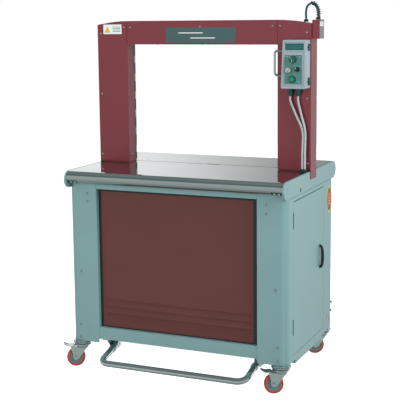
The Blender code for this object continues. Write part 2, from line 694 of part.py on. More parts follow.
def spindle_holes():
    """Cutters for the controls' spindles."""
    return [rod("hole", SPINDLE + GAP, (x, LID_FRONT - 0.01, z), (x, LID_FRONT + SPINDLE_HOLE, z), 16)
            for x, z, radius, depth in KNOBS.values()]


def control_box_lid():
    """Deep hinged lid, open at its back, with pockets for the display window and the keypad."""
    lid = prism("control_box_lid", box_outline(0), "Y", LID_FRONT, LID_BACK)
    seat = (LID_FRONT - 0.01, LID_FRONT + LID_SEAT)
    (left, right), (low, high) = KEYPAD
    pockets = [block("window", WINDOW[0], seat, WINDOW[1]),
               block("keypad", (left - GAP, right + GAP), seat, (low - GAP, high + GAP))]
    cut(lid, *pockets, *spindle_holes(),
        prism("inside", box_outline(BOX_WALL), "Y", LID_FRONT + LID_FACE, LID_BACK + 0.01))
    return set_origin(lid, (BOX_RIGHT + LID_HINGE, LID_BACK, (BOX_BOTTOM + BOX_TOP) / 2))


def keypad_plate():
    """Printed plate behind the knobs."""
    plate = block("keypad_plate", KEYPAD[0], (LID_FRONT + GAP, LID_FRONT + GAP + 0.001), KEYPAD[1])
    return cut(plate, *spindle_holes())


def knob(name, pointer):
    """A turned control with its spindle, standing off the plate."""
    x, z, radius, depth = KNOBS[name]
    standoff = BUTTON_TRAVEL if name == "start_button" else GAP
    profile = [(0, -SPINDLE_LENGTH), (SPINDLE, -SPINDLE_LENGTH), (SPINDLE, standoff), (radius, standoff),
               (radius, standoff + depth * 0.7), (radius * 0.88, standoff + depth), (0, standoff + depth)]
    made = turned(name, profile, (x, LID_FRONT, z), (0, -1, 0), 28)
    if pointer:
        join(made, block("grip", (x - radius * 0.22, x + radius * 0.22),
                         (LID_FRONT - standoff - depth - 0.004, LID_FRONT - standoff - depth * 0.5),
                         (z - radius * 0.95, z + radius * 0.95)))
    return set_origin(made, (x, LID_FRONT, z))


def box_handle():
    """Chromed U handle on the left of the control box."""
    foot = BOX_LEFT - 0.006
    reach = BOX_LEFT - 0.044
    low = BOX_BOTTOM + 0.047
    high = BOX_BOTTOM + 0.142
    corners = rounded([(foot, high, 0), (reach, high, 0.014), (reach, low, 0.014), (foot, low, 0)], 5)
    return tube("box_handle", [(x, BOX_FRONT + 0.013, z) for x, z in corners], 0.0045, 3)


def gland(name):
    """Cable gland under the control box: a hexagon nut with a dome below it."""
    x, y = GLANDS[name]
    top = BOX_BOTTOM - GAP
    profile = [(0, 0), (0.0095, 0), (0.0095, 0.014), (0.0075, 0.020), (0.0065, GLAND_DROP), (0, GLAND_DROP)]
    body = turned(name, profile, (x, y, top), (0, 0, -1), 16)
    nut = rod("nut", 0.0125, (x, y, top), (x, y, top - 0.007), 6)
    return join(body, nut)


def cable_route(name):
    """Middle line of a control cable, from its gland to the table grommet."""
    x, y = GLANDS[name.replace("cable", "gland")]
    foot_x = GROMMET_X + (0.0052 if name == "cable_right" else -0.0052)
    top = BOX_BOTTOM - 2 * GAP - GLAND_DROP
    bottom = TABLE_HEIGHT + 0.012 + GAP
    return smooth_path([(x, y, top), (x, y, top - 0.018), (x + (foot_x - x) * 0.45, y - 0.002, top - 0.070),
                        (foot_x, y - 0.004, top - 0.135), (foot_x, GROMMET_Y, bottom + 0.060),
                        (foot_x, GROMMET_Y, bottom)], 0.011)


def cable_grommet():
    """Rubber collar where the cables enter the table."""
    left, right = GROMMET_X - 0.013, GROMMET_X + 0.0125
    near, far = GROMMET_Y - 0.008, GROMMET_Y + 0.008
    outline = rounded([(left, near, 0.007), (right, near, 0.007), (right, far, 0.007), (left, far, 0.007)])
    return prism("cable_grommet", outline, "Z", TABLE_HEIGHT + GAP, TABLE_HEIGHT + 0.012)


def junction_box():
    """Steel junction box on the arch's right side."""
    near = ARCH_OUTER + GAP
    return soften(block("junction_box", (near, near + JUNCTION_REACH), JUNCTION_Y, JUNCTION_Z), 0.0015)


def cord_collar(name, foot):
    """Short gland that grips the arch's cord, standing on its foot."""
    profile = [(0, 0), (0.0090, 0), (0.0090, CORD_COLLAR * 0.6), (0.007, CORD_COLLAR), (0, CORD_COLLAR)]
    return turned(name, profile, foot, (0, 0, 1), 16)


def arch_top_at(x):
    """Height of the arch's top skin at a given x on the shoulder."""
    skin = COVER + GAP
    share = (ARCH_OUTER - skin - x) / (ARCH_OUTER - skin - ARCH_INNER)
    return ARCH_EDGE - skin + (ARCH_BEAM - ARCH_SHOULDER) * sin(share * pi / 2)


def arch_cord_route():
    """Middle line of the cord that loops from the junction box into the arch."""
    low = JUNCTION_Z[1] + CORD_COLLAR + 2 * GAP
    foot = arch_top_at(CORD_ARCH[0]) + ARCH_GLAND_RISE + CORD_COLLAR + GAP
    (x, y), (end_x, end_y) = CORD_BOX, CORD_ARCH
    return smooth_path([(x, y, low), (x + 0.001, y, low + 0.018), (x - 0.006, y, low + 0.041),
                        ((x + end_x) / 2, (y + end_y) / 2, low + 0.053), (end_x + 0.004, end_y, low + 0.040),
                        (end_x - 0.001, end_y, low + 0.016), (end_x, end_y, foot)], 0.010)


# ---------------------------------------------------------------- casters
def caster_fork_mesh():
    """Swivel fork about its own pivot, wheel trailing towards +X."""
    top = PAD_BOTTOM - SLIT
    crown = AXLE_Z + WHEEL_RADIUS + 0.003
    head = turned("fork", [(0, crown), (0.022, crown), (0.024, crown + 0.006), (0.024, top - 0.008),
                           (0.034, top - 0.005), (0.034, top), (0, top)], (0, 0, 0), (0, 0, 1), 28)
    leg = rounded([(-0.020, crown + 0.004, 0), (CASTER_TRAIL - 0.011, AXLE_Z - 0.008, 0.010),
                   (CASTER_TRAIL + 0.011, AXLE_Z - 0.010, 0.010),
                   (CASTER_TRAIL + 0.012, crown + 0.004, 0.004)], 4)
    sides = [prism("leg", leg, "Y", *sorted((side * FORK_HALF, side * FORK_OUTER))) for side in (-1, 1)]
    bridge = block("bridge", (-0.020, CASTER_TRAIL + 0.010), (-FORK_OUTER, FORK_OUTER),
                   (crown, crown + FORK_SHEET + 0.001))
    reach = FORK_OUTER + 0.003
    axle = rod("axle", AXLE_RADIUS, (CASTER_TRAIL, -reach, AXLE_Z), (CASTER_TRAIL, reach, AXLE_Z), 16)
    return join(head, bridge, *sides, axle)


def caster_wheel_mesh():
    """Wheel with a round-edged tyre and a stepped hub, about its axle along Y."""
    half = WHEEL_WIDTH / 2
    hub = WHEEL_RADIUS * 0.68
    bore = AXLE_RADIUS + GAP
    profile = [(bore, -half - 0.001), (0.010, -half - 0.001), (0.012, -half + 0.004),
               (hub - 0.002, -half + 0.003), (hub, -half), (WHEEL_RADIUS - 0.003, -half),
               (WHEEL_RADIUS, -half + 0.004), (WHEEL_RADIUS, half - 0.004), (WHEEL_RADIUS - 0.003, half),
               (hub, half), (hub - 0.002, half - 0.003), (0.012, half - 0.004), (0.010, half + 0.001),
               (bore, half + 0.001)]
    return turned("wheel", profile, (0, 0, 0), (0, 1, 0), 36, ring=True)


def brake_pedal_mesh():
    """Brake lever over the fork: a forked plate with a turned-up toe."""
    half = FORK_OUTER + GAP
    low = AXLE_Z + WHEEL_RADIUS + 0.0075
    reach = PEDAL_REACH
    outline = [(0.026, low), (reach - 0.020, low), (reach, low + 0.007), (reach, low + 0.010),
               (reach - 0.021, low + 0.0035), (0.026, low + 0.0035)]
    pedal = prism("pedal", outline, "Y", -half - 0.003, half + 0.003)
    arm = [(CASTER_TRAIL - 0.004, low + 0.002), (CASTER_TRAIL + 0.002, AXLE_Z + 0.016),
           (CASTER_TRAIL + 0.012, AXLE_Z + 0.016), (CASTER_TRAIL + 0.018, low + 0.002)]
    arms = [prism("arm", arm, "Y", *sorted((side * half, side * (half + FORK_SHEET)))) for side in (-1, 1)]
    join(pedal, *arms)
    return cut(pedal, rod("swivel_room", 0.0352, (0, 0, 0.02), (0, 0, 0.2), 28))


# ---------------------------------------------------------------- foot bar
def foot_bar():
    """Bent tube that starts a cycle when it is stepped on."""
    rise = (FOOT_PIVOT_Z - FOOT_HEIGHT) / (FOOT_PIVOT_Y - FOOT_FRONT)
    plan = rounded([(FOOT_LEFT, FOOT_PIVOT_Y, 0), (FOOT_LEFT, FOOT_FRONT, FOOT_BEND),
                    (FOOT_RIGHT, FOOT_FRONT, FOOT_BEND), (FOOT_RIGHT, FOOT_PIVOT_Y, 0)], 6)
    path = [(x, y, FOOT_HEIGHT + (y - FOOT_FRONT) * rise) for x, y in plan]
    bar = solid_tube("foot_bar", path, FOOT_TUBE, 3)
    pivot = (FOOT_PIVOT_Y, FOOT_PIVOT_Z)
    ends = (FOOT_LEFT, FOOT_RIGHT)
    join(bar, *[rod("eye", 0.016, (x - 0.0115, *pivot), (x + 0.0115, *pivot), 20) for x in ends])
    cut(bar, *[rod("bore", FOOT_PIN + GAP, (x - 0.05, *pivot), (x + 0.05, *pivot), 16) for x in ends])
    return set_origin(bar, (0, *pivot))


def foot_bracket(name, x, side):
    """Hanger with the foot bar's pivot pin, bolted under the base ring."""
    top = BASE_BOTTOM - GAP
    low = FOOT_PIVOT_Z - 0.014
    front = 0.004 - FRAME_FACE
    outline = rounded([(FOOT_PIVOT_Y - 0.020, low, 0.008), (FOOT_PIVOT_Y + 0.020, low, 0.008),
                       (front + BASE_RAIL + 0.041, top, 0), (front, top, 0)], 3)
    plate = prism(name, outline, "X", *sorted((x + side * 0.0135, x + side * 0.0175)))
    pin = rod("pin", FOOT_PIN, (x - side * 0.013, FOOT_PIVOT_Y, FOOT_PIVOT_Z),
              (x + side * 0.021, FOOT_PIVOT_Y, FOOT_PIVOT_Z), 16)
    foot = block("foot", sorted((x + side * 0.0135, x + side * 0.036)), (front, front + BASE_RAIL - 0.008),
                 (top - 0.004, top))
    return join(plate, pin, foot)


# ---------------------------------------------------------------- inner works
def reel_stand():
    """Post on the cabinet floor with the reel's shaft."""
    post = block("reel_stand", (REEL_LEFT - 0.022, REEL_LEFT - 0.010), (REEL_Y - 0.04, REEL_Y + 0.04),
                 (FLOOR_TOP + GAP, REEL_Z + 0.03))
    foot = block("foot", (REEL_LEFT - 0.070, REEL_LEFT - 0.010), (REEL_Y - 0.06, REEL_Y + 0.06),
                 (FLOOR_TOP + GAP, FLOOR_TOP + 0.006))
    shaft = rod("shaft", SHAFT_RADIUS, (REEL_LEFT - 0.015, REEL_Y, REEL_Z),
                (REEL_RIGHT + 0.012, REEL_Y, REEL_Z))
    return join(post, foot, shaft)


def strap_reel():
    """Reel: two flanges on a core, turning on the shaft."""
    place = (REEL_LEFT, REEL_Y, REEL_Z)
    bore = SHAFT_RADIUS + GAP
    far = REEL_WIDTH - REEL_FLANGE
    profile = [(bore, 0), (REEL_RADIUS, 0), (REEL_RADIUS, REEL_FLANGE), (CORE_RADIUS, REEL_FLANGE),
               (CORE_RADIUS, far), (REEL_RADIUS, far), (REEL_RADIUS, REEL_WIDTH), (bore, REEL_WIDTH)]
    return set_origin(turned("strap_reel", profile, place, (1, 0, 0), 40, ring=True), place)


def strap_coil():
    """Coil of strap wound on the reel."""
    near = REEL_FLANGE + SLIT
    far = REEL_WIDTH - near
    inner = CORE_RADIUS + GAP
    profile = [(inner, near), (COIL_RADIUS, near), (COIL_RADIUS, far), (inner, far)]
    return turned("strap_coil", profile, (REEL_LEFT, REEL_Y, REEL_Z), (1, 0, 0), 40, ring=True)


def pool_box():
    """Open-topped magazine that holds loose strap for the next feed."""
    left, right, front, back = -0.400, -0.050, 0.175, 0.235
    low = FLOOR_TOP + GAP
    high = 0.560
    box = block("pool_box", (left, right), (front, back), (low, high))
    return cut(box, block("inside", (left + SHEET, right - SHEET), (front + SHEET, back - SHEET),
                          (low + SHEET, high + 0.01)))


def drive_motor():
    """Motor and gearbox on the head beams."""
    low = SHELF + GAP
    gear = block("drive_motor", (-0.230, -0.130), (-0.060, 0.040), (low, low + 0.090))
    body = rod("body", 0.042, (-0.225, -0.010, low + 0.046), (-0.390, -0.010, low + 0.046), 24)
    return join(gear, body)


def sealing_head():
    """Head block with its side plate, anvil and the rollers' pins."""
    body = block("sealing_head", (-0.110, -0.040), (-0.060, 0.130), (SHELF + GAP, TABLE_HEIGHT - 0.030))
    top = block("top", (-0.045, 0.048), (-0.010, 0.100), (TABLE_HEIGHT - 0.070, TABLE_HEIGHT - 0.012))
    anvil = block("anvil", (0.000, 0.048), (TABLE_SEAM - 0.0055, TABLE_SEAM + 0.0055),
                  (TABLE_HEIGHT - 0.014, TABLE_HEIGHT - GAP))
    pins = [rod("pin", ROLLER_PIN, (-0.045, y, ROLLER_Z), (0.004, y, ROLLER_Z), 16) for y in ROLLERS.values()]
    return join(body, top, anvil, *pins)


def roller(name):
    """Strap roller on a head pin."""
    radius = FEED_RADIUS if name == "feed_roller" else PRESS_RADIUS
    bore = ROLLER_PIN + GAP
    profile = [(bore, 0), (radius, 0), (radius, ROLLER_WIDTH), (bore, ROLLER_WIDTH)]
    place = (-0.028, ROLLERS[name], ROLLER_Z)
    return set_origin(turned(name, profile, place, (1, 0, 0), 28, ring=True), place)


def electrical_box():
    """Closed control cabinet on the floor."""
    return soften(block("electrical_box", (-0.400, -0.120), (-0.220, -0.090), (FLOOR_TOP + GAP, 0.470)), 0.003)


# ---------------------------------------------------------------- assembly
def paint():
    """Return the machine's materials by name."""
    return {
        "green": material("green_paint", (0.28, 0.40, 0.40), 0.35),
        "red": material("red_paint", (0.22, 0.035, 0.045), 0.28),
        "steel": material("stainless_steel", (0.62, 0.64, 0.64), 0.12, 1.0),
        "zinc": material("zinc_plate", (0.60, 0.64, 0.66), 0.30, 1.0),
        "chrome": material("chrome", (0.75, 0.78, 0.78), 0.06, 1.0),
        "black": material("black_plastic", (0.015, 0.017, 0.018), 0.45),
        "box": material("box_plastic", (0.50, 0.58, 0.60), 0.40),
        "teal": material("teal_plate", (0.05, 0.22, 0.21), 0.40),
        "button": material("green_button", (0.01, 0.20, 0.14), 0.25),
        "rubber": material("dark_rubber", (0.02, 0.04, 0.04), 0.70),
        "cable": material("grey_cable", (0.42, 0.46, 0.47), 0.55),
        "tyre": material("red_urethane", (0.42, 0.04, 0.03), 0.35),
        "strap": material("white_strap", (0.75, 0.74, 0.68), 0.40),
        "cast": material("grey_casting", (0.20, 0.22, 0.23), 0.50, 0.6),
    }


def dress(piece, finish):
    """Give a piece its one material and smooth round faces."""
    piece.data.materials.clear()
    piece.data.materials.append(finish)
    if piece.type == "MESH":
        piece.data.shade_smooth()
        piece.data.set_sharp_from_angle(angle=radians(35))
    return piece


def casters(root, finish):
    """Place the four casters, with brakes on the front pair."""
    fork, wheel, pedal = caster_fork_mesh(), caster_wheel_mesh(), brake_pedal_mesh()
    spots = {"front_left": (-CASTER_X, CASTER_FRONT), "front_right": (CASTER_X, CASTER_FRONT),
             "rear_left": (-CASTER_X, CASTER_BACK), "rear_right": (CASTER_X, CASTER_BACK)}
    for spot, (x, y) in spots.items():
        swivel = add("caster_fork_" + spot, fork.data)
        swivel.location = (x, y, 0)
        swivel.rotation_euler.z = CASTER_HEADING
        swivel.parent = root
        roll = add("caster_wheel_" + spot, wheel.data)
        roll.location = (CASTER_TRAIL, 0, AXLE_Z)
        roll.parent = swivel
        dress(swivel, finish["zinc"])
        dress(roll, finish["tyre"])
        if spot.startswith("front"):
            lever = add("brake_pedal_" + spot, pedal.data)
            lever.parent = swivel
            dress(lever, finish["zinc"])
    for pattern in (fork, wheel, pedal):
        bpy.data.objects.remove(pattern, do_unlink=True)


def centre_on_floor(root, left_out):
    """Move the root so that the origin is under the middle of the machine's box."""
    graph = bpy.context.evaluated_depsgraph_get()
    low, high = Vector((9, 9)), Vector((-9, -9))
    for piece in bpy.data.objects:
        if piece.type not in {"MESH", "CURVE"} or piece.name in left_out:
            continue
        shaped = piece.evaluated_get(graph)
        mesh = shaped.to_mesh()
        for vertex in mesh.vertices:
            place = shaped.matrix_world @ vertex.co
            for side in (0, 1):
                low[side] = min(low[side], place[side])
                high[side] = max(high[side], place[side])
        shaped.to_mesh_clear()
    root.location = (-(low.x + high.x) / 2, -(low.y + high.y) / 2, 0)


def main():
    """Build the machine."""
    start()
    finish = paint()
    root = bpy.data.objects.new("machine_root", None)
    bpy.context.scene.collection.objects.link(root)
    shell, door, handle = side_shell(), side_door(), door_handle()
    cover, end = column_cover(), end_plate()
    green = [base_frame(), upper_frame(), shell, mirrored(shell, "left_side_shell"), rear_panel(), end,
             mirrored(end, "left_end_plate")]
    doors = [set_origin(door, (CABINET_SIDE, DOOR_FRONT, 0))]
    doors.append(set_origin(mirrored(door, "left_door"), (-CABINET_SIDE, DOOR_FRONT, 0)))
    handles = [handle, mirrored(handle, "left_door_handle")]
    box_foot = (*CORD_BOX, JUNCTION_Z[1] + GAP)
    arch_foot = (*CORD_ARCH, arch_top_at(CORD_ARCH[0]) + ARCH_GLAND_RISE)
    placed = {
        "green": green + doors,
        "red": [front_panel(), arch_frame(), cover, mirrored(cover, "left_column_cover"), beam_cover(),
                junction_box()],
        "steel": [front_table_plate(), rear_table_plate(), cable_corner_plate()],
        "zinc": [table_latch(), reel_stand(), foot_bracket("foot_bracket_left", FOOT_LEFT, -1),
                 foot_bracket("foot_bracket_right", FOOT_RIGHT, 1)],
        "chrome": [box_handle(), foot_bar()],
        "black": handles + [strap_chute(), knob("dial_knob", False), knob("selector_right", True),
                            gland("gland_left"), gland("gland_right"), cord_collar("cord_gland", box_foot),
                            cord_collar("arch_gland", arch_foot)],
        "box": [control_box_body(), control_box_lid(), electrical_box()],
        "teal": [keypad_plate()],
        "button": [knob("start_button", False)],
        "rubber": [cable_grommet(), roller("feed_roller"), roller("pressure_roller")],
        "cable": [tube("cable_left", cable_route("cable_left"), CABLE_RADIUS),
                  tube("cable_right", cable_route("cable_right"), CABLE_RADIUS),
                  tube("arch_cord", arch_cord_route(), LOOP_RADIUS)],
        "strap": [strap_coil()],
        "cast": [knob("selector_left", True), strap_reel(), pool_box(), drive_motor(), sealing_head()],
    }
    for colour, pieces in placed.items():
        for piece in pieces:
            dress(piece, finish[colour]).parent = root
    casters(root, finish)
    centre_on_floor(root, {"cable_left", "cable_right", "arch_cord"})


main()
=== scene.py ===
"""Looks of the arch strapping machine: finishes, fine pieces, cords, camera and light.

Places are given about the middle of the table, as +X right, +Y back and +Z up from the floor, and
make() moves each finished piece into the frame.
"""
from math import atan2, cos, pi, radians, sin, tan

import bmesh
import bpy
from mathutils import Matrix, Vector


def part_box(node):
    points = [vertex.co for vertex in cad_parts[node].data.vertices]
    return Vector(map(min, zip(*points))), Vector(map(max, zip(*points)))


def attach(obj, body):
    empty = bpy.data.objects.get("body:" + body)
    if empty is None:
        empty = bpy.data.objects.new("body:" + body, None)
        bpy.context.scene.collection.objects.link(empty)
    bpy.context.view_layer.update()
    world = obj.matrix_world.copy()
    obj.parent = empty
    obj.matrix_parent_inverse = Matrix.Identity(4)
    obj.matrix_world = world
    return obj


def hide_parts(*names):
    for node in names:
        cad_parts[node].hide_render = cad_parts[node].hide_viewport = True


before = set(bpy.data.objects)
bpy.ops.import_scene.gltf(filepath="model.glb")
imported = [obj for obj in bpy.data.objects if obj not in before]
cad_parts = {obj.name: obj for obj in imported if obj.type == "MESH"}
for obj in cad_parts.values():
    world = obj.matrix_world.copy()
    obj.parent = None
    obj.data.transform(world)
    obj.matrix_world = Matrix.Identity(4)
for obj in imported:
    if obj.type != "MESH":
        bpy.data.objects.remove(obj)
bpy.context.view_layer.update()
MACHINE = "machine"

# ---------------------------------------------------------------- sizes read from the frame, in metres
beam_low, beam_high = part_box("beam_cover")
ARCH_FRONT = -0.022
SHIFT = Vector(((beam_low.x + beam_high.x) / 2, beam_low.y - ARCH_FRONT, 0.0))
ARCH_INNER = (beam_high.x - beam_low.x) / 2 + 0.0005
ARCH_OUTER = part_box("right_column_cover")[1].x - SHIFT.x
ARCH_BACK = 0.052
RECESS = 0.022              # front panel and rear panel behind the cabinet's faces
END_PLATE, LATCH_Y = 0.4585, -0.139
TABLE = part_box("front_table_plate")[1].z
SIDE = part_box("right_side_shell")[1].x - SHIFT.x
FACE = 0.291                # front and rear faces of the cabinet, from the middle
box_low, box_high = [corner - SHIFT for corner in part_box("control_box_body")]
lid_low, lid_high = [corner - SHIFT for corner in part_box("control_box_lid")]
pad_low, pad_high = [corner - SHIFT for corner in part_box("keypad_plate")]
BOX_LEFT = box_low.x + 0.004        # half way up its slanting left side
BOX_RIGHT, BOX_LOW, BOX_HIGH = box_high.x, box_low.z, box_high.z
BOX_BACK, BOX_FACE = box_high.y, box_low.y
LID_BACK, LID_FACE = lid_high.y, lid_low.y
WHEEL = 0.0375              # radius of the tyres
TYRE = 0.0045               # rounding of the tyre's edges
TRAIL = 0.028               # axle behind the swivel
HEADING = radians(204)      # where the casters point
CASTERS = {"front_left": (-0.427, -0.270), "front_right": (0.427, -0.270),
           "rear_left": (-0.427, 0.250), "rear_right": (0.427, 0.250)}
CORD = 0.0042               # radius of every cord


def middle(node):
    """Middle of a CAD node's box, given about the middle of the table."""
    return sum(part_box(node), Vector()) / 2 - SHIFT


DIAL, SELECTOR_LEFT, SELECTOR_RIGHT, START = [
    tuple(middle(node).xz) for node in ("dial_knob", "selector_left", "selector_right", "start_button")]
GLANDS = {node: tuple(middle(node).xy) for node in ("gland_left", "gland_right")}
GROMMET = (0.438, -0.042)
LEFT, RIGHT, FRONT, BACK, UP, DOWN = [Vector(way) for way in (
    (-1, 0, 0), (1, 0, 0), (0, -1, 0), (0, 1, 0), (0, 0, 1), (0, 0, -1))]


# ---------------------------------------------------------------- finishes
def linear(text):
    """Colour of a hex text, as linear RGBA."""
    values = [int(text[i:i + 2], 16) / 255 for i in (1, 3, 5)]
    return tuple(v / 12.92 if v <= 0.04045 else ((v + 0.055) / 1.055) ** 2.4 for v in values) + (1.0,)


def add_node(tree, kind, settings=None, links=None, **values):
    """Add a node, set its options and its inputs' values, and link its inputs."""
    made = tree.nodes.new(kind)
    for name, value in (settings or {}).items():
        setattr(made, name, value)
    for name, value in values.items():
        made.inputs[name.replace("_", " ")].default_value = value
    for name, source in (links or {}).items():
        tree.links.new(source, made.inputs[name])
    return made


def finish(name, dark, light, gloss, metallic=0.0, patch=5.0, grain=(1, 1, 1), bump=0.0, bump_size=600.0,
           spread=0.05):
    """A finish whose colour and gloss drift between two values, with a fine bump."""
    made = bpy.data.materials.new(name)
    made.use_nodes = True
    tree = made.node_tree
    shader = tree.nodes["Principled BSDF"]
    place = add_node(tree, "ShaderNodeTexCoord").outputs["Object"]
    stretched = add_node(tree, "ShaderNodeMapping", links={"Vector": place}, Scale=grain).outputs["Vector"]
    cloud = add_node(tree, "ShaderNodeTexNoise", links={"Vector": stretched}, Scale=patch, Detail=5.0,
                     Roughness=0.6)
    tint = add_node(tree, "ShaderNodeMix", {"data_type": "RGBA"}, {"Factor": cloud.outputs["Fac"]})
    tint.inputs["A"].default_value = linear(dark)
    tint.inputs["B"].default_value = linear(light)
    tree.links.new(tint.outputs["Result"], shader.inputs["Base Color"])
    span = add_node(tree, "ShaderNodeMapRange", links={"Value": cloud.outputs["Fac"]},
                    To_Min=max(gloss - spread, 0.03), To_Max=gloss + spread)
    tree.links.new(span.outputs["Result"], shader.inputs["Roughness"])
    if bump:
        fine = add_node(tree, "ShaderNodeTexNoise", links={"Vector": stretched}, Scale=bump_size, Detail=3.0)
        relief = add_node(tree, "ShaderNodeBump", links={"Height": fine.outputs["Fac"]}, Strength=bump,
                          Distance=0.0004)
        tree.links.new(relief.outputs["Normal"], shader.inputs["Normal"])
    shader.inputs["Metallic"].default_value = metallic
    return made


def coil_finish(name):
    """Polypropylene strap seen edge on in its coil: fine rings 5 mm apart about the reel's axis."""
    made = finish(name, "#cfc9b4", "#e4dfcd", 0.42)
    tree = made.node_tree
    low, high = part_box("strap_coil")
    centre = (low + high) / 2
    place = add_node(tree, "ShaderNodeTexCoord").outputs["Object"]
    moved = add_node(tree, "ShaderNodeMapping", links={"Vector": place}, Location=(0.0, -centre.y, -centre.z))
    rings = add_node(tree, "ShaderNodeTexWave", {"wave_type": "RINGS", "rings_direction": "X"},
                     {"Vector": moved.outputs["Vector"]}, Scale=60.0, Distortion=0.6, Detail=2.0)
    relief = add_node(tree, "ShaderNodeBump", links={"Height": rings.outputs["Fac"]}, Strength=0.7,
                      Distance=0.001)
    tree.links.new(relief.outputs["Normal"], tree.nodes["Principled BSDF"].inputs["Normal"])
    return made


FINISH = {
    # stoved enamel: even, satin, a faint orange peel that breaks up the highlights
    "green": finish("green_grey_stoved_enamel", "#7b9da0", "#85a8ab", 0.36, bump=0.10, bump_size=350.0),
    # gloss enamel: crisp highlights along the folds of the arch
    "red": finish("dark_red_sprayed_gloss_enamel", "#742a33", "#7d303a", 0.24, bump=0.06, bump_size=350.0),
    # satin enamel: darker and browner than the arch, with one broad soft sheen
    "panel": finish("brown_red_sprayed_satin_enamel", "#5c2c2a", "#673430", 0.33, bump=0.10, bump_size=350.0),
    # buffed sheet: nearly a mirror, with soft streaks along the buffing
    "table": finish("buffed_stainless_sheet", "#bac1c1", "#c9cfcf", 0.06, 1.0, patch=3.0, grain=(1, 8, 1),
                    spread=0.02),
    # electroplated zinc: pale, cloudy metal with broken highlights
    "zinc": finish("electroplated_bright_zinc", "#aebcbc", "#cdd6d6", 0.27, 1.0, patch=60.0, bump=0.15),
    # polished chrome plate: sharp bright and dark bands round each tube
    "chrome": finish("polished_chrome_plate", "#c2c9c9", "#d4dada", 0.07, 1.0, patch=12.0, spread=0.02),
    # moulded nylon: near black, finely spark-textured, a dull edge light
    "black": finish("black_moulded_nylon", "#14201f", "#1c2a29", 0.42, bump=0.25, bump_size=900.0),
    # moulded ABS: pale cool grey with a fine tooth
    "box": finish("pale_grey_moulded_abs", "#95a1ab", "#a0adb6", 0.34, bump=0.12, bump_size=900.0),
    # screen-printed polyester: flat teal with a faint drift of ink
    "keypad": finish("teal_screen_printed_polyester", "#4b7b77", "#568682", 0.38, patch=20.0, bump=0.1),
    # glossy moulded ABS: small bright glints on knobs, glands and hinges
    "dark_teal": finish("dark_teal_moulded_abs", "#0a4640", "#0f5650", 0.26, bump=0.1),
    # cast acrylic: dark, glassy and flat
    "window": finish("smoked_cast_acrylic", "#145a57", "#1b6663", 0.08),
    # moulded acrylic: deep green dome with one sharp glint
    "lens": finish("green_moulded_acrylic", "#0a7a5f", "#109070", 0.14),
    # moulded rubber: matt, swallows the light
    "rubber": finish("moulded_nitrile_rubber", "#12302e", "#1a3d3a", 0.62, bump=0.3, bump_size=1200.0),
    # extruded PVC: soft sheen along the cable
    "cable": finish("grey_extruded_pvc", "#a9b3b6", "#b8c1c4", 0.46, bump=0.15, bump_size=900.0),
    "cord": finish("dark_green_extruded_pvc", "#15433f", "#1c504b", 0.45, bump=0.15, bump_size=900.0),
    # cast polyurethane: warm red, slightly waxy, mottled by wear
    "tyre": finish("red_cast_polyurethane", "#a83c37", "#b84641", 0.34, patch=30.0, bump=0.12),
    "hub": finish("grey_moulded_nylon", "#5a7b7c", "#688888", 0.40, patch=30.0, bump=0.15),
    # painted sand casting: coarse skin, dull
    "cast": finish("grey_painted_sand_casting", "#5b6265", "#697073", 0.48, patch=25.0, bump=0.5,
                   bump_size=250.0),
    # hot-dipped zinc: mid grey with a mottled spangle
    "magazine": finish("hot_dipped_galvanised_sheet", "#8f979a", "#a3abad", 0.36, 1.0, patch=40.0, bump=0.1),
    # printed vinyl films: flat colours, a little gloss
    "white": finish("white_printed_vinyl", "#e6e8e8", "#eff1f1", 0.40),
    "yellow": finish("yellow_printed_vinyl", "#d8b52f", "#e0c03f", 0.38),
    "orange": finish("orange_printed_vinyl", "#b0472c", "#bd5436", 0.36),
    "leaf": finish("green_printed_vinyl", "#2f5b45", "#386650", 0.38),
    # anodised strip: dull dark teal, hardly any highlight
    "strip": finish("dark_teal_anodised_aluminium", "#3a5457", "#435e60", 0.34, patch=15.0),
    # extruded polypropylene seen edge on: cream, in fine rings
    "strap": coil_finish("extruded_polypropylene_strap"),
}
BY_NODE = {
    "green": ["base_frame", "upper_frame", "right_side_shell", "left_side_shell", "rear_panel",
              "right_end_plate", "left_end_plate", "right_door", "left_door"],
    "red": ["arch_frame", "right_column_cover", "left_column_cover", "beam_cover", "junction_box"],
    "table": ["front_table_plate", "rear_table_plate", "cable_corner_plate"],
    "zinc": ["reel_stand", "foot_bracket_left", "foot_bracket_right", "brake_pedal_front_left",
             "brake_pedal_front_right", "caster_fork_front_left", "caster_fork_front_right",
             "caster_fork_rear_left", "caster_fork_rear_right"],
    "chrome": ["box_handle"],
    "dark_teal": ["table_latch"],
    "black": ["strap_chute", "cord_gland", "arch_gland"],
    "box": ["control_box_body", "control_box_lid", "electrical_box"],
    "keypad": ["keypad_plate"],
    "rubber": ["cable_grommet", "feed_roller", "pressure_roller"],
    "strap": ["strap_coil"],
    "cast": ["strap_reel", "drive_motor", "sealing_head"],
    "magazine": ["pool_box"],
}
SOFT_EDGES = {"green": 0.0012, "red": 0.0008, "box": 0.0016, "zinc": 0.0006, "cast": 0.0015,
              "magazine": 0.0005}


def dress_frame():
    """Give every shown CAD node its finish, and the folded and moulded ones softened edges."""
    for kind, names in BY_NODE.items():
        for name in names:
            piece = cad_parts[name]
            piece.data.materials.clear()
            piece.data.materials.append(FINISH[kind])
            if kind in SOFT_EDGES:
                weld = piece.modifiers.new("weld", "WELD")
                weld.merge_threshold = 0.00001
                soft = piece.modifiers.new("soft_edges", "BEVEL")
                soft.width = SOFT_EDGES[kind]
                soft.segments = 2
                soft.angle_limit = radians(40)


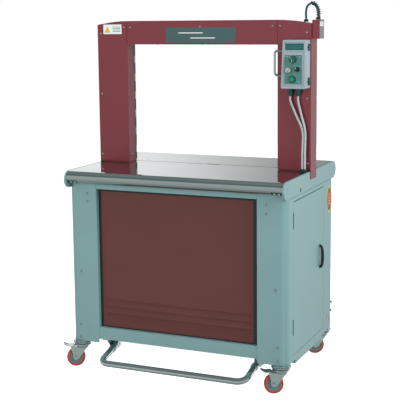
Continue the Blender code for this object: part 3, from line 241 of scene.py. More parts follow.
# ---------------------------------------------------------------- shapes
def slab(shape, low, high, edge=0.0, steps=2):
    """Add a box between two corners, with rounded edges."""
    low, high = Vector(low), Vector(high)
    made = bmesh.ops.create_cube(shape, size=1.0)["verts"]
    bmesh.ops.scale(shape, vec=high - low, verts=made)
    bmesh.ops.translate(shape, vec=(low + high) / 2, verts=made)
    if edge:
        edges = list({line for dot in made for line in dot.link_edges})
        bmesh.ops.bevel(shape, geom=edges, offset=edge, offset_type="OFFSET", segments=steps, profile=0.5,
                        affect="EDGES")
    return shape


def turned(shape, profile, foot, axis, steps=32):
    """Add a solid turned about an axis from (radius, height) points; radius 0 closes an end."""
    turn = Vector(axis).to_track_quat("Z", "Y").to_matrix()
    rings = []
    for radius, height in profile:
        if radius == 0:
            rings.append([shape.verts.new(Vector(foot) + turn @ Vector((0, 0, height)))])
            continue
        rings.append([shape.verts.new(Vector(foot) + turn @ Vector(
            (radius * cos(2 * pi * k / steps), radius * sin(2 * pi * k / steps),
             height))) for k in range(steps)])
    for one, two in zip(rings, rings[1:]):
        for k in range(steps):
            after = (k + 1) % steps
            corners = [one[k % len(one)], one[after % len(one)], two[after % len(two)], two[k % len(two)]]
            shape.faces.new(list(dict.fromkeys(corners)))
    return shape


def ring(shape, profile, foot, axis, steps=32):
    """Add a closed ring turned about an axis: the profile comes back to its first point."""
    return turned(shape, list(profile) + [profile[0]], foot, axis, steps)


def swept(shape, path, section, cap=True):
    """Add a section carried along a path; section(share) gives its (u, v) points."""
    path = [Vector(point) for point in path]
    side = None
    loops = []
    for index, point in enumerate(path):
        way = (path[min(index + 1, len(path) - 1)] - path[max(index - 1, 0)]).normalized()
        if side is None:
            side = way.orthogonal().normalized()
        side = (side - way * side.dot(way)).normalized()
        lift = way.cross(side)
        loops.append([shape.verts.new(point + side * u + lift * v) for u,
                      v in section(index / (len(path) - 1))])
    for one, two in zip(loops, loops[1:]):
        for k in range(len(one)):
            after = (k + 1) % len(one)
            shape.faces.new((one[k], one[after], two[after], two[k]))
    if cap:
        shape.faces.new(loops[0])
        shape.faces.new(loops[-1])
    return shape


def circle(radius, count=16):
    """A round section for swept()."""
    dots = [(radius * cos(2 * pi * k / count), radius * sin(2 * pi * k / count)) for k in range(count)]
    return lambda share: dots


def rounded(corners, steps=5):
    """Outline with arcs from corners given as (u, v, radius)."""
    outline = []
    for index, (u, v, radius) in enumerate(corners):
        corner = Vector((u, v))
        back = (Vector(corners[index - 1][:2]) - corner).normalized()
        ahead = (Vector(corners[(index + 1) % len(corners)][:2]) - corner).normalized()
        half = back.angle(ahead) / 2
        centre = corner + (back + ahead).normalized() * radius / sin(half)
        first = corner + back * radius / tan(half) - centre
        last = corner + ahead * radius / tan(half) - centre
        begin = atan2(first.y, first.x)
        sweep = (atan2(last.y, last.x) - begin + pi) % (2 * pi) - pi
        for step in range(steps + 1):
            angle = begin + sweep * step / steps
            outline.append(centre + radius * Vector((cos(angle), sin(angle))))
    return outline


def oblong(x, z, radius):
    """Corners of an upright or flat rectangle with equal round corners."""
    return [(x[0], z[0], radius), (x[1], z[0], radius), (x[1], z[1], radius), (x[0], z[1], radius)]


def inset(x, z, by):
    """Corners of a rectangle drawn in on every side."""
    return oblong((x[0] + by, x[1] - by), (z[0] + by, z[1] - by), 0.0012)


def facing(outline, depth, axis="Y"):
    """Points of an outline in X and Z at one Y, in Y and Z at one X, or in X and Y at one Z."""
    if axis == "Y":
        return [Vector((u, depth, v)) for u, v in outline]
    if axis == "X":
        return [Vector((depth, u, v)) for u, v in outline]
    return [Vector((u, v, depth)) for u, v in outline]


def layered(shape, layers, axis="Y", cap=True):
    """Add a solid that goes through equal outlines at depths: [(outline, depth), ...]."""
    loops = [[shape.verts.new(point) for point in facing(outline, depth, axis)] for outline, depth in layers]
    for one, two in zip(loops, loops[1:]):
        for k in range(len(one)):
            after = (k + 1) % len(one)
            shape.faces.new((one[k], one[after], two[after], two[k]))
    if cap:
        shape.faces.new(loops[0])
        shape.faces.new(loops[-1])
    return shape


def plate(shape, corners, low, high, axis="Y", edge=0.0004):
    """Add a flat plate with its front edge chamfered, from low (its back) to high (its face)."""
    inward = edge if high > low else -edge
    outline = rounded(corners)
    middle = sum(outline, Vector((0, 0))) / len(outline)
    inner = [point + (middle - point).normalized() * edge for point in outline]
    return layered(shape, [(outline, low), (outline, high - inward), (inner, high)], axis)


def frame_ring(shape, outer, inner, back, face, axis="Y"):
    """Add a flat frame between two sets of corners, with a rounded face."""
    out, inn = rounded(outer), rounded(inner)
    middle = sum(out, Vector((0, 0))) / len(out)
    soft = abs(face - back) * 0.35
    rim = [point + (middle - point).normalized() * soft for point in out]
    hem = [point - (middle - point).normalized() * soft for point in inn]
    step = soft if face > back else -soft
    return layered(shape, [(out, back), (out, face - step), (rim, face), (hem, face), (inn, face - step),
                           (inn, back), (out, back)], axis, cap=False)


def make(name, shape, kind, body=MACHINE, replaced=(), angle=38, turn=None):
    """Turn a shape into a finished piece in the frame that rides on a body."""
    if turn is not None:
        bmesh.ops.transform(shape, matrix=turn, verts=shape.verts)
    bmesh.ops.translate(shape, vec=SHIFT, verts=shape.verts)
    bmesh.ops.remove_doubles(shape, verts=shape.verts, dist=1e-6)
    bmesh.ops.recalc_face_normals(shape, faces=shape.faces)
    mesh = bpy.data.meshes.new(name)
    shape.to_mesh(mesh)
    shape.free()
    return place(name, mesh, kind, body, replaced, angle)


def place(name, mesh, kind, body=MACHINE, replaced=(), angle=38):
    """Put a finished mesh in the scene with its finish, its body and the nodes it stands for."""
    mesh.shade_smooth()
    mesh.set_sharp_from_angle(angle=radians(angle))
    mesh.materials.clear()
    mesh.materials.append(FINISH[kind])
    piece = bpy.data.objects.new(name, mesh)
    bpy.context.scene.collection.objects.link(piece)
    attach(piece, body)
    if replaced:
        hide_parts(*replaced)
    return piece


# ---------------------------------------------------------------- repeated pieces, by geometry nodes
def repeat_tree(name, sizes, build):
    """A tree that sets a shape on every given dot, turned to its aim; build(tree, inputs) makes the shape."""
    tree = bpy.data.node_groups.new(name, "GeometryNodeTree")
    tree.interface.new_socket("Dots", in_out="INPUT", socket_type="NodeSocketGeometry")
    for label, value in sizes.items():
        tree.interface.new_socket(label, in_out="INPUT", socket_type="NodeSocketFloat").default_value = value
    tree.interface.new_socket("Finish", in_out="INPUT", socket_type="NodeSocketMaterial")
    tree.interface.new_socket("Pieces", in_out="OUTPUT", socket_type="NodeSocketGeometry")
    inputs = add_node(tree, "NodeGroupInput").outputs
    aim = add_node(tree, "GeometryNodeInputNamedAttribute", {"data_type": "FLOAT_VECTOR"}, Name="aim")
    turn = add_node(tree, "FunctionNodeAlignRotationToVector", {"axis": "Z"},
                    {"Vector": aim.outputs["Attribute"]})
    along = add_node(tree, "GeometryNodeInputNamedAttribute", {"data_type": "FLOAT_VECTOR"}, Name="along")
    squared = add_node(tree, "FunctionNodeAlignRotationToVector", {"axis": "X", "pivot_axis": "Z"},
                       {"Rotation": turn.outputs["Rotation"], "Vector": along.outputs["Attribute"]})
    set_down = add_node(tree, "GeometryNodeInstanceOnPoints", links={
        "Points": inputs["Dots"], "Instance": build(tree, inputs), "Rotation": squared.outputs["Rotation"]})
    real = add_node(tree, "GeometryNodeRealizeInstances", links={"Geometry": set_down.outputs["Instances"]})
    painted = add_node(tree, "GeometryNodeSetMaterial", links={"Geometry": real.outputs["Geometry"],
                                                               "Material": inputs["Finish"]})
    add_node(tree, "NodeGroupOutput", links={"Pieces": painted.outputs["Geometry"]})
    return tree


def times(tree, source, factor):
    """A size input times a number."""
    made = add_node(tree, "ShaderNodeMath", {"operation": "MULTIPLY"}, {0: source})
    made.inputs[1].default_value = factor
    return made.outputs[0]


def packed(tree, x, y, z):
    """Three sizes as one vector."""
    return add_node(tree, "ShaderNodeCombineXYZ", links={"X": x, "Y": y, "Z": z}).outputs[0]


def pan_head(tree, inputs):
    """Domed screw head with a cross recess."""
    dome = add_node(tree, "GeometryNodeMeshUVSphere", Segments=18, Rings=10, Radius=1.0)
    size = packed(tree, inputs["Radius"], inputs["Radius"], inputs["Rise"])
    head = add_node(tree, "GeometryNodeTransform", links={"Geometry": dome.outputs["Mesh"], "Scale": size})
    raise_by = packed(tree, times(tree, inputs["Radius"], 0), times(tree, inputs["Radius"], 0),
                      inputs["Rise"])
    bars = []
    for wide, deep in ((1.1, 0.22), (0.22, 1.1)):
        edge = packed(tree, times(tree, inputs["Radius"], wide), times(tree, inputs["Radius"], deep),
                      inputs["Rise"])
        bar = add_node(tree, "GeometryNodeMeshCube", links={"Size": edge})
        laid = add_node(tree, "GeometryNodeTransform", links={"Geometry": bar.outputs["Mesh"],
                                                              "Translation": raise_by})
        bars.append(laid.outputs["Geometry"])
    cut = add_node(tree, "GeometryNodeMeshBoolean", {"operation": "DIFFERENCE", "solver": "EXACT"},
                   {"Mesh 1": head.outputs["Geometry"]})
    for bar in bars:
        tree.links.new(bar, cut.inputs["Mesh 2"])
    return cut.outputs["Mesh"]


def hex_head(tree, inputs):
    """Hexagon bolt head on its washer."""
    washer = add_node(tree, "GeometryNodeMeshCylinder", Vertices=24, links={
        "Radius": times(tree, inputs["Radius"], 1.35), "Depth": times(tree, inputs["Rise"], 0.5)})
    head = add_node(tree, "GeometryNodeMeshCone", Vertices=6, links={
        "Radius Bottom": inputs["Radius"], "Radius Top": times(tree, inputs["Radius"], 0.9),
        "Depth": inputs["Rise"]})
    whole = add_node(tree, "GeometryNodeJoinGeometry")
    for part in (head.outputs["Mesh"], washer.outputs["Mesh"]):
        tree.links.new(part, whole.inputs["Geometry"])
    return whole.outputs["Geometry"]


def bar_shape(tree, inputs):
    """Long low bar, its length along X."""
    edge = packed(tree, inputs["Length"], inputs["Width"], inputs["Rise"])
    return add_node(tree, "GeometryNodeMeshCube", links={"Size": edge}).outputs["Mesh"]


def louvre(tree, inputs):
    """Half-round hood, its length along X."""
    barrel = add_node(tree, "GeometryNodeMeshCylinder", Vertices=20, links={"Radius": inputs["Width"],
                                                                           "Depth": inputs["Length"]})
    laid = add_node(tree, "GeometryNodeTransform", links={"Geometry": barrel.outputs["Mesh"]},
                    Rotation=(0, pi / 2, 0))
    flat = add_node(tree, "GeometryNodeTransform", links={"Geometry": laid.outputs["Geometry"]},
                    Scale=(1, 1, 0.45))
    return flat.outputs["Geometry"]


TREES = {
    "screw": repeat_tree("pan_head_screws", {"Radius": 0.0035, "Rise": 0.0016}, pan_head),
    "bolt": repeat_tree("hexagon_bolts", {"Radius": 0.0055, "Rise": 0.004}, hex_head),
    "bar": repeat_tree("raised_bars", {"Length": 0.01, "Width": 0.001, "Rise": 0.0006}, bar_shape),
    "louvre": repeat_tree("louvre_hoods", {"Length": 0.10, "Width": 0.007}, louvre),
}


def evaluated(holder, name):
    """Plain mesh of an object with its modifiers applied; the object is removed."""
    graph = bpy.context.evaluated_depsgraph_get()
    mesh = bpy.data.meshes.new_from_object(holder.evaluated_get(graph))
    mesh.name = name
    bpy.data.objects.remove(holder, do_unlink=True)
    return mesh


def repeated(name, kind, dots, finish_name, body=MACHINE, angle=38, turn=None, **sizes):
    """Set one kind of small piece on each dot, given as (place, aim) or (place, aim, along)."""
    mesh = bpy.data.meshes.new(name)
    places, aims, alongs = [], [], []
    for dot in dots:
        aim = Vector(dot[1])
        level = RIGHT if abs(aim.x) < 0.9 else BACK
        along = Vector(dot[2]) if len(dot) > 2 else Vector(level)
        spot = Vector(dot[0])
        if turn is not None:
            spot, aim, along = turn @ spot, turn.to_3x3() @ aim, turn.to_3x3() @ along
        places.append(spot + SHIFT)
        aims.append(aim)
        alongs.append(along)
    mesh.from_pydata(places, [], [])
    for label, values in (("aim", aims), ("along", alongs)):
        layer = mesh.attributes.new(label, "FLOAT_VECTOR", "POINT")
        layer.data.foreach_set("vector", [number for value in values for number in value])
    holder = bpy.data.objects.new(name + "_dots", mesh)
    bpy.context.scene.collection.objects.link(holder)
    step = holder.modifiers.new("repeat", "NODES")
    step.node_group = TREES[kind]
    sockets = {item.name: item.identifier for item in TREES[kind].interface.items_tree}
    for label, value in sizes.items():
        step[sockets[label.title()]] = value
    step[sockets["Finish"]] = FINISH[finish_name]
    return place(name, evaluated(holder, name), finish_name, body, angle=angle)


def both(points, aim=None):
    """Mirror (x, y, z) places, with their aims, to the other side as well."""
    out = []
    for x, y, z in points:
        for side in (1, -1):
            way = Vector(aim)
            way.x *= side
            out.append(((side * x, y, z), way))
    return out


# ---------------------------------------------------------------- arch
def arch_details():
    """Cover screws, the plain name strip and a plain label, without words."""
    front = [(-0.338, 1.368), (-0.309, 1.368), (-0.4455, 1.343), (0.0, 1.369), (0.305, 1.370), (0.335, 1.370),
             (0.442, 1.345), (-0.446, 1.094), (0.446, 1.094), (-0.449, 0.842), (0.449, 0.842)]
    dots = [((x, ARCH_FRONT, z), FRONT) for x, z in front]
    dots += both([(0.325, 0.008, 0.842)], LEFT)
    dots += both([(ARCH_OUTER, 0.038, z) for z in (0.842, 1.094, 1.30)], RIGHT)
    dots += [((x, 0.005, 1.298), DOWN) for x in (-0.2, 0.0, 0.2)]
    dots += [((x, ARCH_BACK, z), BACK) for x, z in ((-0.43, 1.35), (-0.2, 1.36), (0.0, 1.36), (0.2, 1.36),
                                                    (0.43, 1.35), (-0.42, 1.1), (0.42, 1.1), (-0.42, 0.85),
                                                    (0.42, 0.85))]
    repeated("arch_screws", "screw", dots, "chrome", radius=0.0042, rise=0.0020)
    face = ARCH_FRONT - 0.0008
    strip = plate(bmesh.new(), oblong((-0.149, 0.152), (1.305, 1.365), 0.004), ARCH_FRONT, face)
    make("name_strip", strip, "strip")
    bars = [((-0.040, face, 1.344), FRONT), ((0.012, face, 1.324), FRONT)]
    repeated("name_strip_bars", "bar", bars, "white", length=0.105, width=0.0035, rise=0.0006)
    label = plate(bmesh.new(), oblong((-0.433, -0.349), (1.340, 1.379), 0.002), ARCH_FRONT, face)
    make("plain_label", label, "white")
    sign = plate(bmesh.new(), [(-0.428, 1.346, 0.001), (-0.400, 1.346, 0.001), (-0.414, 1.372, 0.001)], face,
                 face - 0.0003, edge=0.0001)
    make("label_triangle", sign, "yellow")
    lines = [((-0.372, face - 0.0001, z), FRONT) for z in (1.351, 1.357, 1.363, 1.369)]
    repeated("label_lines", "bar", lines, "dark_teal", length=0.036, width=0.0018, rise=0.0006)


def chute_details():
    """Spring fingers that close the strap guide along its inner edge."""
    y = ARCH_BACK - 0.008
    dots = []
    for k in range(9):
        dots.append(((-0.28 + 0.07 * k, y, 1.2975), DOWN, RIGHT))
    for side in (-1, 1):
        for k in range(6):
            dots.append(((side * (ARCH_INNER - 0.0005), y, 0.86 + 0.075 * k), LEFT * side, UP))
    repeated("guide_fingers", "bar", dots, "zinc", length=0.030, width=0.007, rise=0.0012)


# ---------------------------------------------------------------- table
def table_details():
    """Hinge blocks under the round edges, guides at the sealing head, end plate marks."""
    for face, name in ((-1, "front"), (1, "rear")):
        block = bmesh.new()
        for side in (-1, 1):
            x = sorted((side * 0.406, side * 0.4455))
            y = sorted((face * 0.290, face * 0.3165))
            slab(block, (x[0], y[0], 0.7625), (x[1], y[1], 0.7725), 0.002)
        make(name + "_hinge_blocks", block, "dark_teal", name + "_plate")
        dots = [((side * x, face * 0.3160, 0.7675), FRONT * -face)
                for side in (-1, 1) for x in (0.4165, 0.4345)]
        repeated(name + "_hinge_bolts", "screw", dots, "chrome", name + "_plate", radius=0.0056, rise=0.0042)
    seam = (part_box("front_table_plate")[1].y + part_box("rear_table_plate")[0].y) / 2 - SHIFT.y
    lining = slab(bmesh.new(), (-0.324, seam - 0.0017, TABLE - 0.0006),
                  (0.324, seam + 0.0017, TABLE + 0.0003), 0.0002, 1)
    make("seam_lining", lining, "black", "rear_plate")
    guides = bmesh.new()
    for y in ((0.0375, 0.0395), (0.0525, 0.0545)):
        slab(guides, (-0.0035, y[0], TABLE - 0.010), (0.0515, y[1], TABLE - 0.0008), 0.0004)
    make("sealing_head_guides", guides, "zinc")
    dots = [((x, y, TABLE), UP) for x in (-0.30, 0.30) for y in (0.100, 0.290)]
    repeated("rear_plate_screws", "screw", dots, "zinc", "rear_plate", radius=0.0035, rise=0.0006)
    marks = bmesh.new()
    for side in (-1, 1):
        turned(marks, [(0, 0), (0.0042, 0), (0.0042, 0.0004), (0, 0.0006)],
               (side * END_PLATE, LATCH_Y, 0.7722), RIGHT * side, 20)
    make("latch_marks", marks, "yellow")
    collars = bmesh.new()
    for side in (-1, 1):
        ring(collars, [(0.0056, 0), (0.0078, 0), (0.0074, 0.0006), (0.0060, 0.0006)],
             (side * END_PLATE, LATCH_Y, 0.757), RIGHT * side, 24)
    make("latch_collars", collars, "dark_teal")
    plugs = bmesh.new()
    for side in (-1, 1):
        ring(plugs, [(0.0075, 0), (0.0095, 0), (0.0090, 0.0006), (0.0080, 0.0006)],
             (side * END_PLATE, 0.025, 0.7475), RIGHT * side, 24)
        turned(plugs, [(0, 0), (0.0070, 0), (0.0066, 0.0005), (0, 0.0009)],
               (side * END_PLATE, 0.025, 0.7475), RIGHT * side, 24)
    make("end_plate_plugs", plugs, "green")
    dots = both([(END_PLATE, y, z) for y, z in ((-0.295, 0.783), (0.295, 0.783), (0.14, 0.757),
                                                (0.26, 0.757))], RIGHT)
    repeated("end_plate_screws", "screw", dots, "zinc", radius=0.0035, rise=0.0012)


# ---------------------------------------------------------------- cabinet
def front_panel():
    """Recessed front sheet with three pressed ribs and folded edges, framed in black painted shade of its
    recess.
    """
    left, right = -0.3345, 0.3290
    low, high = 0.1770, 0.7390
    face = RECESS - FACE
    ribs = (0.292, 0.263, 0.234)
    rows = sorted({low, low + 0.004, high - 0.004, high} | {rib + step for rib in ribs for step in (
        -0.0045, -0.0032, -0.0018, 0.0, 0.0018, 0.0032, 0.0045)})
    columns = [left, left + 0.004, -0.318, -0.314, -0.308, 0.302, 0.308, 0.312, right - 0.004, right]
    shape = bmesh.new()
    grid = []
    for z in rows:
        line = []
        for x in columns:
            off = min(abs(z - rib) for rib in ribs)
            swell = 0.0024 * (0.5 + 0.5 * cos(pi * min(off / 0.0045, 1.0)))
            if x < -0.313 or x > 0.3075:
                swell = 0.0
            line.append(shape.verts.new((x, face - swell, z)))
        grid.append(line)
    for one, two in zip(grid, grid[1:]):
        for k in range(len(columns) - 1):
            shape.faces.new((one[k], one[k + 1], two[k + 1], two[k]))
    edge = [line for line in shape.edges if line.is_boundary]
    fold = bmesh.ops.extrude_edge_only(shape, edges=edge)["geom"]
    bmesh.ops.translate(shape, vec=(0, 0.010, 0),
                        verts=[item for item in fold if isinstance(item, bmesh.types.BMVert)])
    bmesh.ops.recalc_face_normals(shape, faces=shape.faces)
    if sum(tile.normal.y for tile in shape.faces) > 0:
        bmesh.ops.reverse_faces(shape, faces=shape.faces)
    bmesh.ops.solidify(shape, geom=list(shape.faces), thickness=-0.0013)
    make("pressed_front_panel", shape, "panel", replaced=["front_panel"], angle=50)
    # Black frame round the panel, widest at the right and the top: painted shade of the recess where the
    # pillars and the upper frame shadow the panel.
    recess_shade = frame_ring(bmesh.new(), oblong((left - 0.001, right + 0.001), (low - 0.001, high + 0.0006),
                                            0.001),
                        oblong((left + 0.008, right - 0.012), (low + 0.003, high - 0.010), 0.001),
                        face + 0.001, face - 0.0035)
    make("panel_recess_shade", recess_shade, "black")
    dots = [((x, face, z), FRONT) for x in (-0.3165, 0.3080) for z in (0.570, 0.364)]
    repeated("front_panel_screws", "screw", dots, "panel", radius=0.0034, rise=0.0016)


def cabinet_details():
    """Pillar screws, door hinges, lock, oval sticker and louvres."""
    pillar = [(0.376, 0.720), (0.376, 0.687), (0.412, 0.401), (0.421, 0.181), (0.421, 0.130)]
    dots = both([(x, -FACE, z) for x, z in pillar], FRONT) + both([(x, FACE, z) for x, z in pillar], BACK)
    repeated("pillar_screws", "screw", dots, "zinc", radius=0.0052, rise=0.0030)
    # Black strips where only shade falls, along each door's top gap and behind its hinge knuckles: painted
    # shade.
    shade = bmesh.new()
    for side in (-1, 1):
        for low, high in ((0.622, 0.686), (0.213, 0.276)):
            x = sorted((side * (SIDE - 0.001), side * (SIDE + 0.0008)))
            slab(shade, (x[0], -0.2275, low), (x[1], -0.2240, high), 0.0006, 1)
    door_low, door_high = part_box("right_door")
    for side in (-1, 1):
        x = sorted((side * (SIDE - 0.001), side * (SIDE + 0.0007)))
        slab(shade, (x[0], door_low.y - SHIFT.y + 0.004, door_high.z + 0.0004),
             (x[1], 0.150, door_high.z + 0.0034), 0.0004, 1)
    make("door_gap_painted_shade", shade, "black")
    knuckles = bmesh.new()
    for side in (-1, 1):
        for low, high in ((0.6235, 0.6845), (0.2145, 0.2745)):
            span = (high - low) / 3
            for k in range(3):
                turned(knuckles, [(0, 0.0004), (0.0012, 0.0004), (0.0016, 0.0008), (0.0016, span - 0.0008),
                                  (0.0012, span - 0.0004), (0, span - 0.0004)],
                       (side * (SIDE + 0.0006), -0.2258, low + span * k), UP, 12)
    make("door_hinge_knuckles", knuckles, "dark_teal")
    locks = bmesh.new()
    for side in (-1, 1):
        turned(locks, [(0, 0), (0.0125, 0), (0.0125, 0.0014), (0.0115, 0.0026), (0.0085, 0.0030),
                       (0.0082, 0.0018), (0.0045, 0.0018), (0.0042, 0.0046), (0, 0.0050)],
                       (side * SIDE, 0.227, 0.158), RIGHT * side, 32)
        slab(locks, (side * SIDE + side * 0.0046 - 0.0006, 0.2262, 0.1545),
             (side * SIDE + side * 0.0046 + 0.0006, 0.2278, 0.1615))
    make("cabinet_locks", locks, "chrome")
    for name, kind, reach, rise in (("sticker_rim", "yellow", 1.0, 0.0006),
                                    ("sticker_ends", "leaf", 0.86, 0.0009),
                                    ("sticker_middle", "orange", 0.80, 0.0012)):
        oval = bmesh.new()
        for side in (-1, 1):
            outline = []
            for k in range(48):
                across = 0.034 * reach * cos(2 * pi * k / 48)
                high = 0.0555 * reach * sin(2 * pi * k / 48)
                if name == "sticker_middle":
                    high = max(min(high, 0.030), -0.030)
                outline.append(Vector((0.236 + across, 0.6615 + high)))
            layered(oval, [(outline, side * SIDE), (outline, side * (SIDE + rise))], "X")
        make(name, oval, kind)
    stripes = [((side * (SIDE + 0.0013), 0.236, z), RIGHT * side, BACK) for side in (-1, 1)
               for z in (0.644, 0.655, 0.668, 0.679)]
    repeated("sticker_stripes", "bar", stripes, "yellow", length=0.026, width=0.0030, rise=0.0006)
    rear = FACE - RECESS
    heights = (0.60, 0.625, 0.65, 0.675, 0.25, 0.275, 0.30)
    hoods = [((x, rear, z), BACK, RIGHT) for x in (-0.20, 0.0, 0.20) for z in heights]
    repeated("rear_louvres", "louvre", hoods, "green", length=0.13, width=0.0075)
    dots = [((x, rear, z), BACK) for x in (-0.32, 0.0, 0.32) for z in (0.20, 0.45, 0.715)]
    repeated("rear_panel_screws", "screw", dots, "zinc", radius=0.0038, rise=0.0018)
    buffers = bmesh.new()
    for z in (0.212, 0.176):
        for side in (-1, 1):
            turned(buffers, [(0, 0), (0.0050, 0), (0.0050, 0.0035), (0.0038, 0.0052), (0, 0.0056)],
                   (side * (SIDE - 0.006), FACE, z), BACK, 16)
    make("rear_corner_studs", buffers, "zinc")
    rail_bolts = both([(0.4515, y, 0.107) for y in (-0.14, 0.0, 0.15)], RIGHT)
    repeated("side_rail_bolts", "bolt", rail_bolts, "zinc", radius=0.0042, rise=0.0030)


def door_pulls():
    """Bowed pull handles with round feet."""
    for side, name in ((1, "right"), (-1, "left")):
        shape = bmesh.new()
        low, high, y = 0.4055, 0.4915, 0.110
        foot = SIDE + 0.0006
        path = []
        for k in range(25):
            turn = pi * k / 24
            path.append((side * (foot + 0.0020 + 0.0095 * sin(turn) ** 0.7), y,
                         (low + high) / 2 - cos(turn) * (high - low) / 2))

        def section(share):
            """Oval across the pull, fuller in its middle."""
            wide = 0.0052 + 0.0030 * sin(pi * share)
            thick = 0.0036 + 0.0022 * sin(pi * share)
            return [(wide * cos(2 * pi * k / 18), thick * sin(2 * pi * k / 18)) for k in range(18)]

        swept(shape, path, section)
        for z in (low, high):
            turned(shape, [(0, 0), (0.0068, 0), (0.0068, 0.0016), (0.0050, 0.0036), (0, 0.0040)],
                   (side * SIDE, y, z), RIGHT * side, 20)
        make(name + "_door_pull", shape, "black", name + "_door", [name + "_door_handle"])


# ---------------------------------------------------------------- controls
def box_corners(inset, radius):
    """Corners of the control box seen from the front, a little wider at its foot."""
    left, right = BOX_LEFT + inset, BOX_RIGHT - inset
    low, high = BOX_LOW + inset, BOX_HIGH - inset
    return [(left - 0.004, low, radius), (right, low, radius), (right, high, radius),
            (left + 0.004, high, radius)]


def lid_details():
    """Raised frames, window, keypad print, hinges and closing screws of the control lid."""
    lid = "control_lid"
    rims = bmesh.new()
    frame_ring(rims, box_corners(0.0012, 0.006), box_corners(0.0075, 0.004), LID_FACE + 0.0006,
               LID_FACE - 0.0022)
    window_x, window_z = (BOX_LEFT + 0.0130, BOX_LEFT + 0.0875), (BOX_LOW + 0.1460, BOX_LOW + 0.1715)
    for x, z, wide in ((window_x, window_z, 0.0030), ((pad_low.x, pad_high.x), (pad_low.z, pad_high.z),
                                                      0.0028)):
        frame_ring(rims, oblong((x[0] - wide, x[1] + wide), (z[0] - wide, z[1] + wide), 0.003),
                   oblong((x[0] + 0.0002, x[1] - 0.0002), (z[0] + 0.0002, z[1] - 0.0002), 0.0012),
                   LID_FACE + 0.0006, LID_FACE - 0.0024)
    make("lid_frames", rims, "box", lid)
    window = plate(bmesh.new(), inset(window_x, window_z, 0.0004), LID_FACE + 0.0014, LID_FACE + 0.0003)
    make("display_window", window, "window", lid)
    sill = frame_ring(bmesh.new(), inset(window_x, window_z, 0.0020), inset(window_x, window_z, 0.0042),
                      LID_FACE + 0.0006, LID_FACE + 0.0001)
    make("display_sill", sill, "dark_teal", lid)
    face = LID_FACE + 0.0004
    ticks = []
    for k in range(11):
        turn = radians(-150 + 30 * k)
        spoke = Vector((sin(turn), 0, cos(turn)))
        ticks.append((Vector((DIAL[0], face, DIAL[1])) + spoke * 0.0178, FRONT, spoke))
    for x, z in (SELECTOR_LEFT, SELECTOR_RIGHT):
        for turn in (-0.7, 0.7):
            spoke = Vector((sin(turn), 0, cos(turn)))
            ticks.append((Vector((x, face, z)) + spoke * 0.0155, FRONT, spoke))
    repeated("keypad_ticks", "bar", ticks, "white", lid, length=0.0030, width=0.0008, rise=0.0004)
    legends = [((x, face, z), FRONT, RIGHT) for x, z in ((pad_low.x + 0.009, pad_high.z - 0.006),
                                                         (pad_high.x - 0.009, pad_high.z - 0.006),
                                                         (pad_high.x - 0.012, pad_low.z + 0.010))]
    repeated("keypad_legends", "bar", legends, "white", lid, length=0.0080, width=0.0011, rise=0.0004)
    dots = [((BOX_RIGHT - 0.0055, LID_FACE - 0.0005, BOX_LOW + up), FRONT) for up in (0.0240, 0.0310)]
    repeated("lid_switches", "bar", dots, "dark_teal", lid, length=0.0046, width=0.0018, rise=0.0016)
    dots = [((x, LID_FACE, BOX_LOW + up), FRONT) for x,
            up in ((BOX_LEFT + 0.0040, 0.136), (BOX_RIGHT - 0.0050, 0.136),
                                                              (BOX_RIGHT - 0.0050, 0.010),
                                                              (BOX_LEFT + 0.0030, 0.010))]
    repeated("lid_screws", "screw", dots, "box", lid, radius=0.0024, rise=0.0010)
    fixed, moving = bmesh.new(), bmesh.new()
    x, y = BOX_RIGHT + 0.005, LID_BACK + 0.0005
    for low, high in ((1.276, 1.303), (1.145, 1.175)):
        third = (high - low) / 3
        arm = BOX_RIGHT + 0.0042
        for k in range(3):
            shape = moving if k == 1 else fixed
            start = low + third * k
            turned(shape, [(0, 0.0003), (0.0022, 0.0003), (0.0028, 0.0009), (0.0028, third - 0.0009),
                           (0.0022, third - 0.0003), (0, third - 0.0003)], (x, y, start), UP, 16)
            if k == 1:
                slab(moving, (BOX_RIGHT - 0.001, LID_BACK - 0.0090, start + 0.0006),
                     (arm, y - 0.001, start + third - 0.0006), 0.0006, 1)
            else:
                slab(fixed, (BOX_RIGHT - 0.001, y + 0.001, start + 0.0006),
                     (arm, y + 0.0100, start + third - 0.0006), 0.0006, 1)
    make("lid_hinge_fixed", fixed, "dark_teal")
    make("lid_hinge_moving", moving, "dark_teal", lid)
    seal = frame_ring(bmesh.new(), box_corners(0.0008, 0.005), box_corners(0.0040, 0.004), BOX_FACE,
                      BOX_FACE - 0.0009)
    make("lid_gasket", seal, "rubber")
    ears = bmesh.new()
    for z in (BOX_LOW + 0.018, BOX_HIGH - 0.018):
        slab(ears, (BOX_LEFT - 0.0085, BOX_BACK - 0.004, z - 0.008),
             (BOX_LEFT + 0.004, BOX_BACK - 0.0002, z + 0.008), 0.0015)
    make("box_ears", ears, "box")
    board = slab(bmesh.new(), (BOX_LEFT + 0.010, BOX_BACK - 0.0080, BOX_LOW + 0.009),
                 (BOX_RIGHT - 0.006, BOX_BACK - 0.0064, BOX_HIGH - 0.011), 0.0003, 1)
    for x, z, wide, high, deep in ((0.032, 0.137, 0.012, 0.008, 0.005), (0.068, 0.107, 0.009, 0.014, 0.006),
                                   (0.050, 0.057, 0.018, 0.006, 0.008), (0.024, 0.077, 0.007, 0.007, 0.009)):
        x, z, y = BOX_LEFT + x, BOX_LOW + z, BOX_BACK - 0.0082
        slab(board, (x - wide, y - deep, z - high), (x + wide, y, z + high), 0.0008, 1)
    make("control_board", board, "leaf")


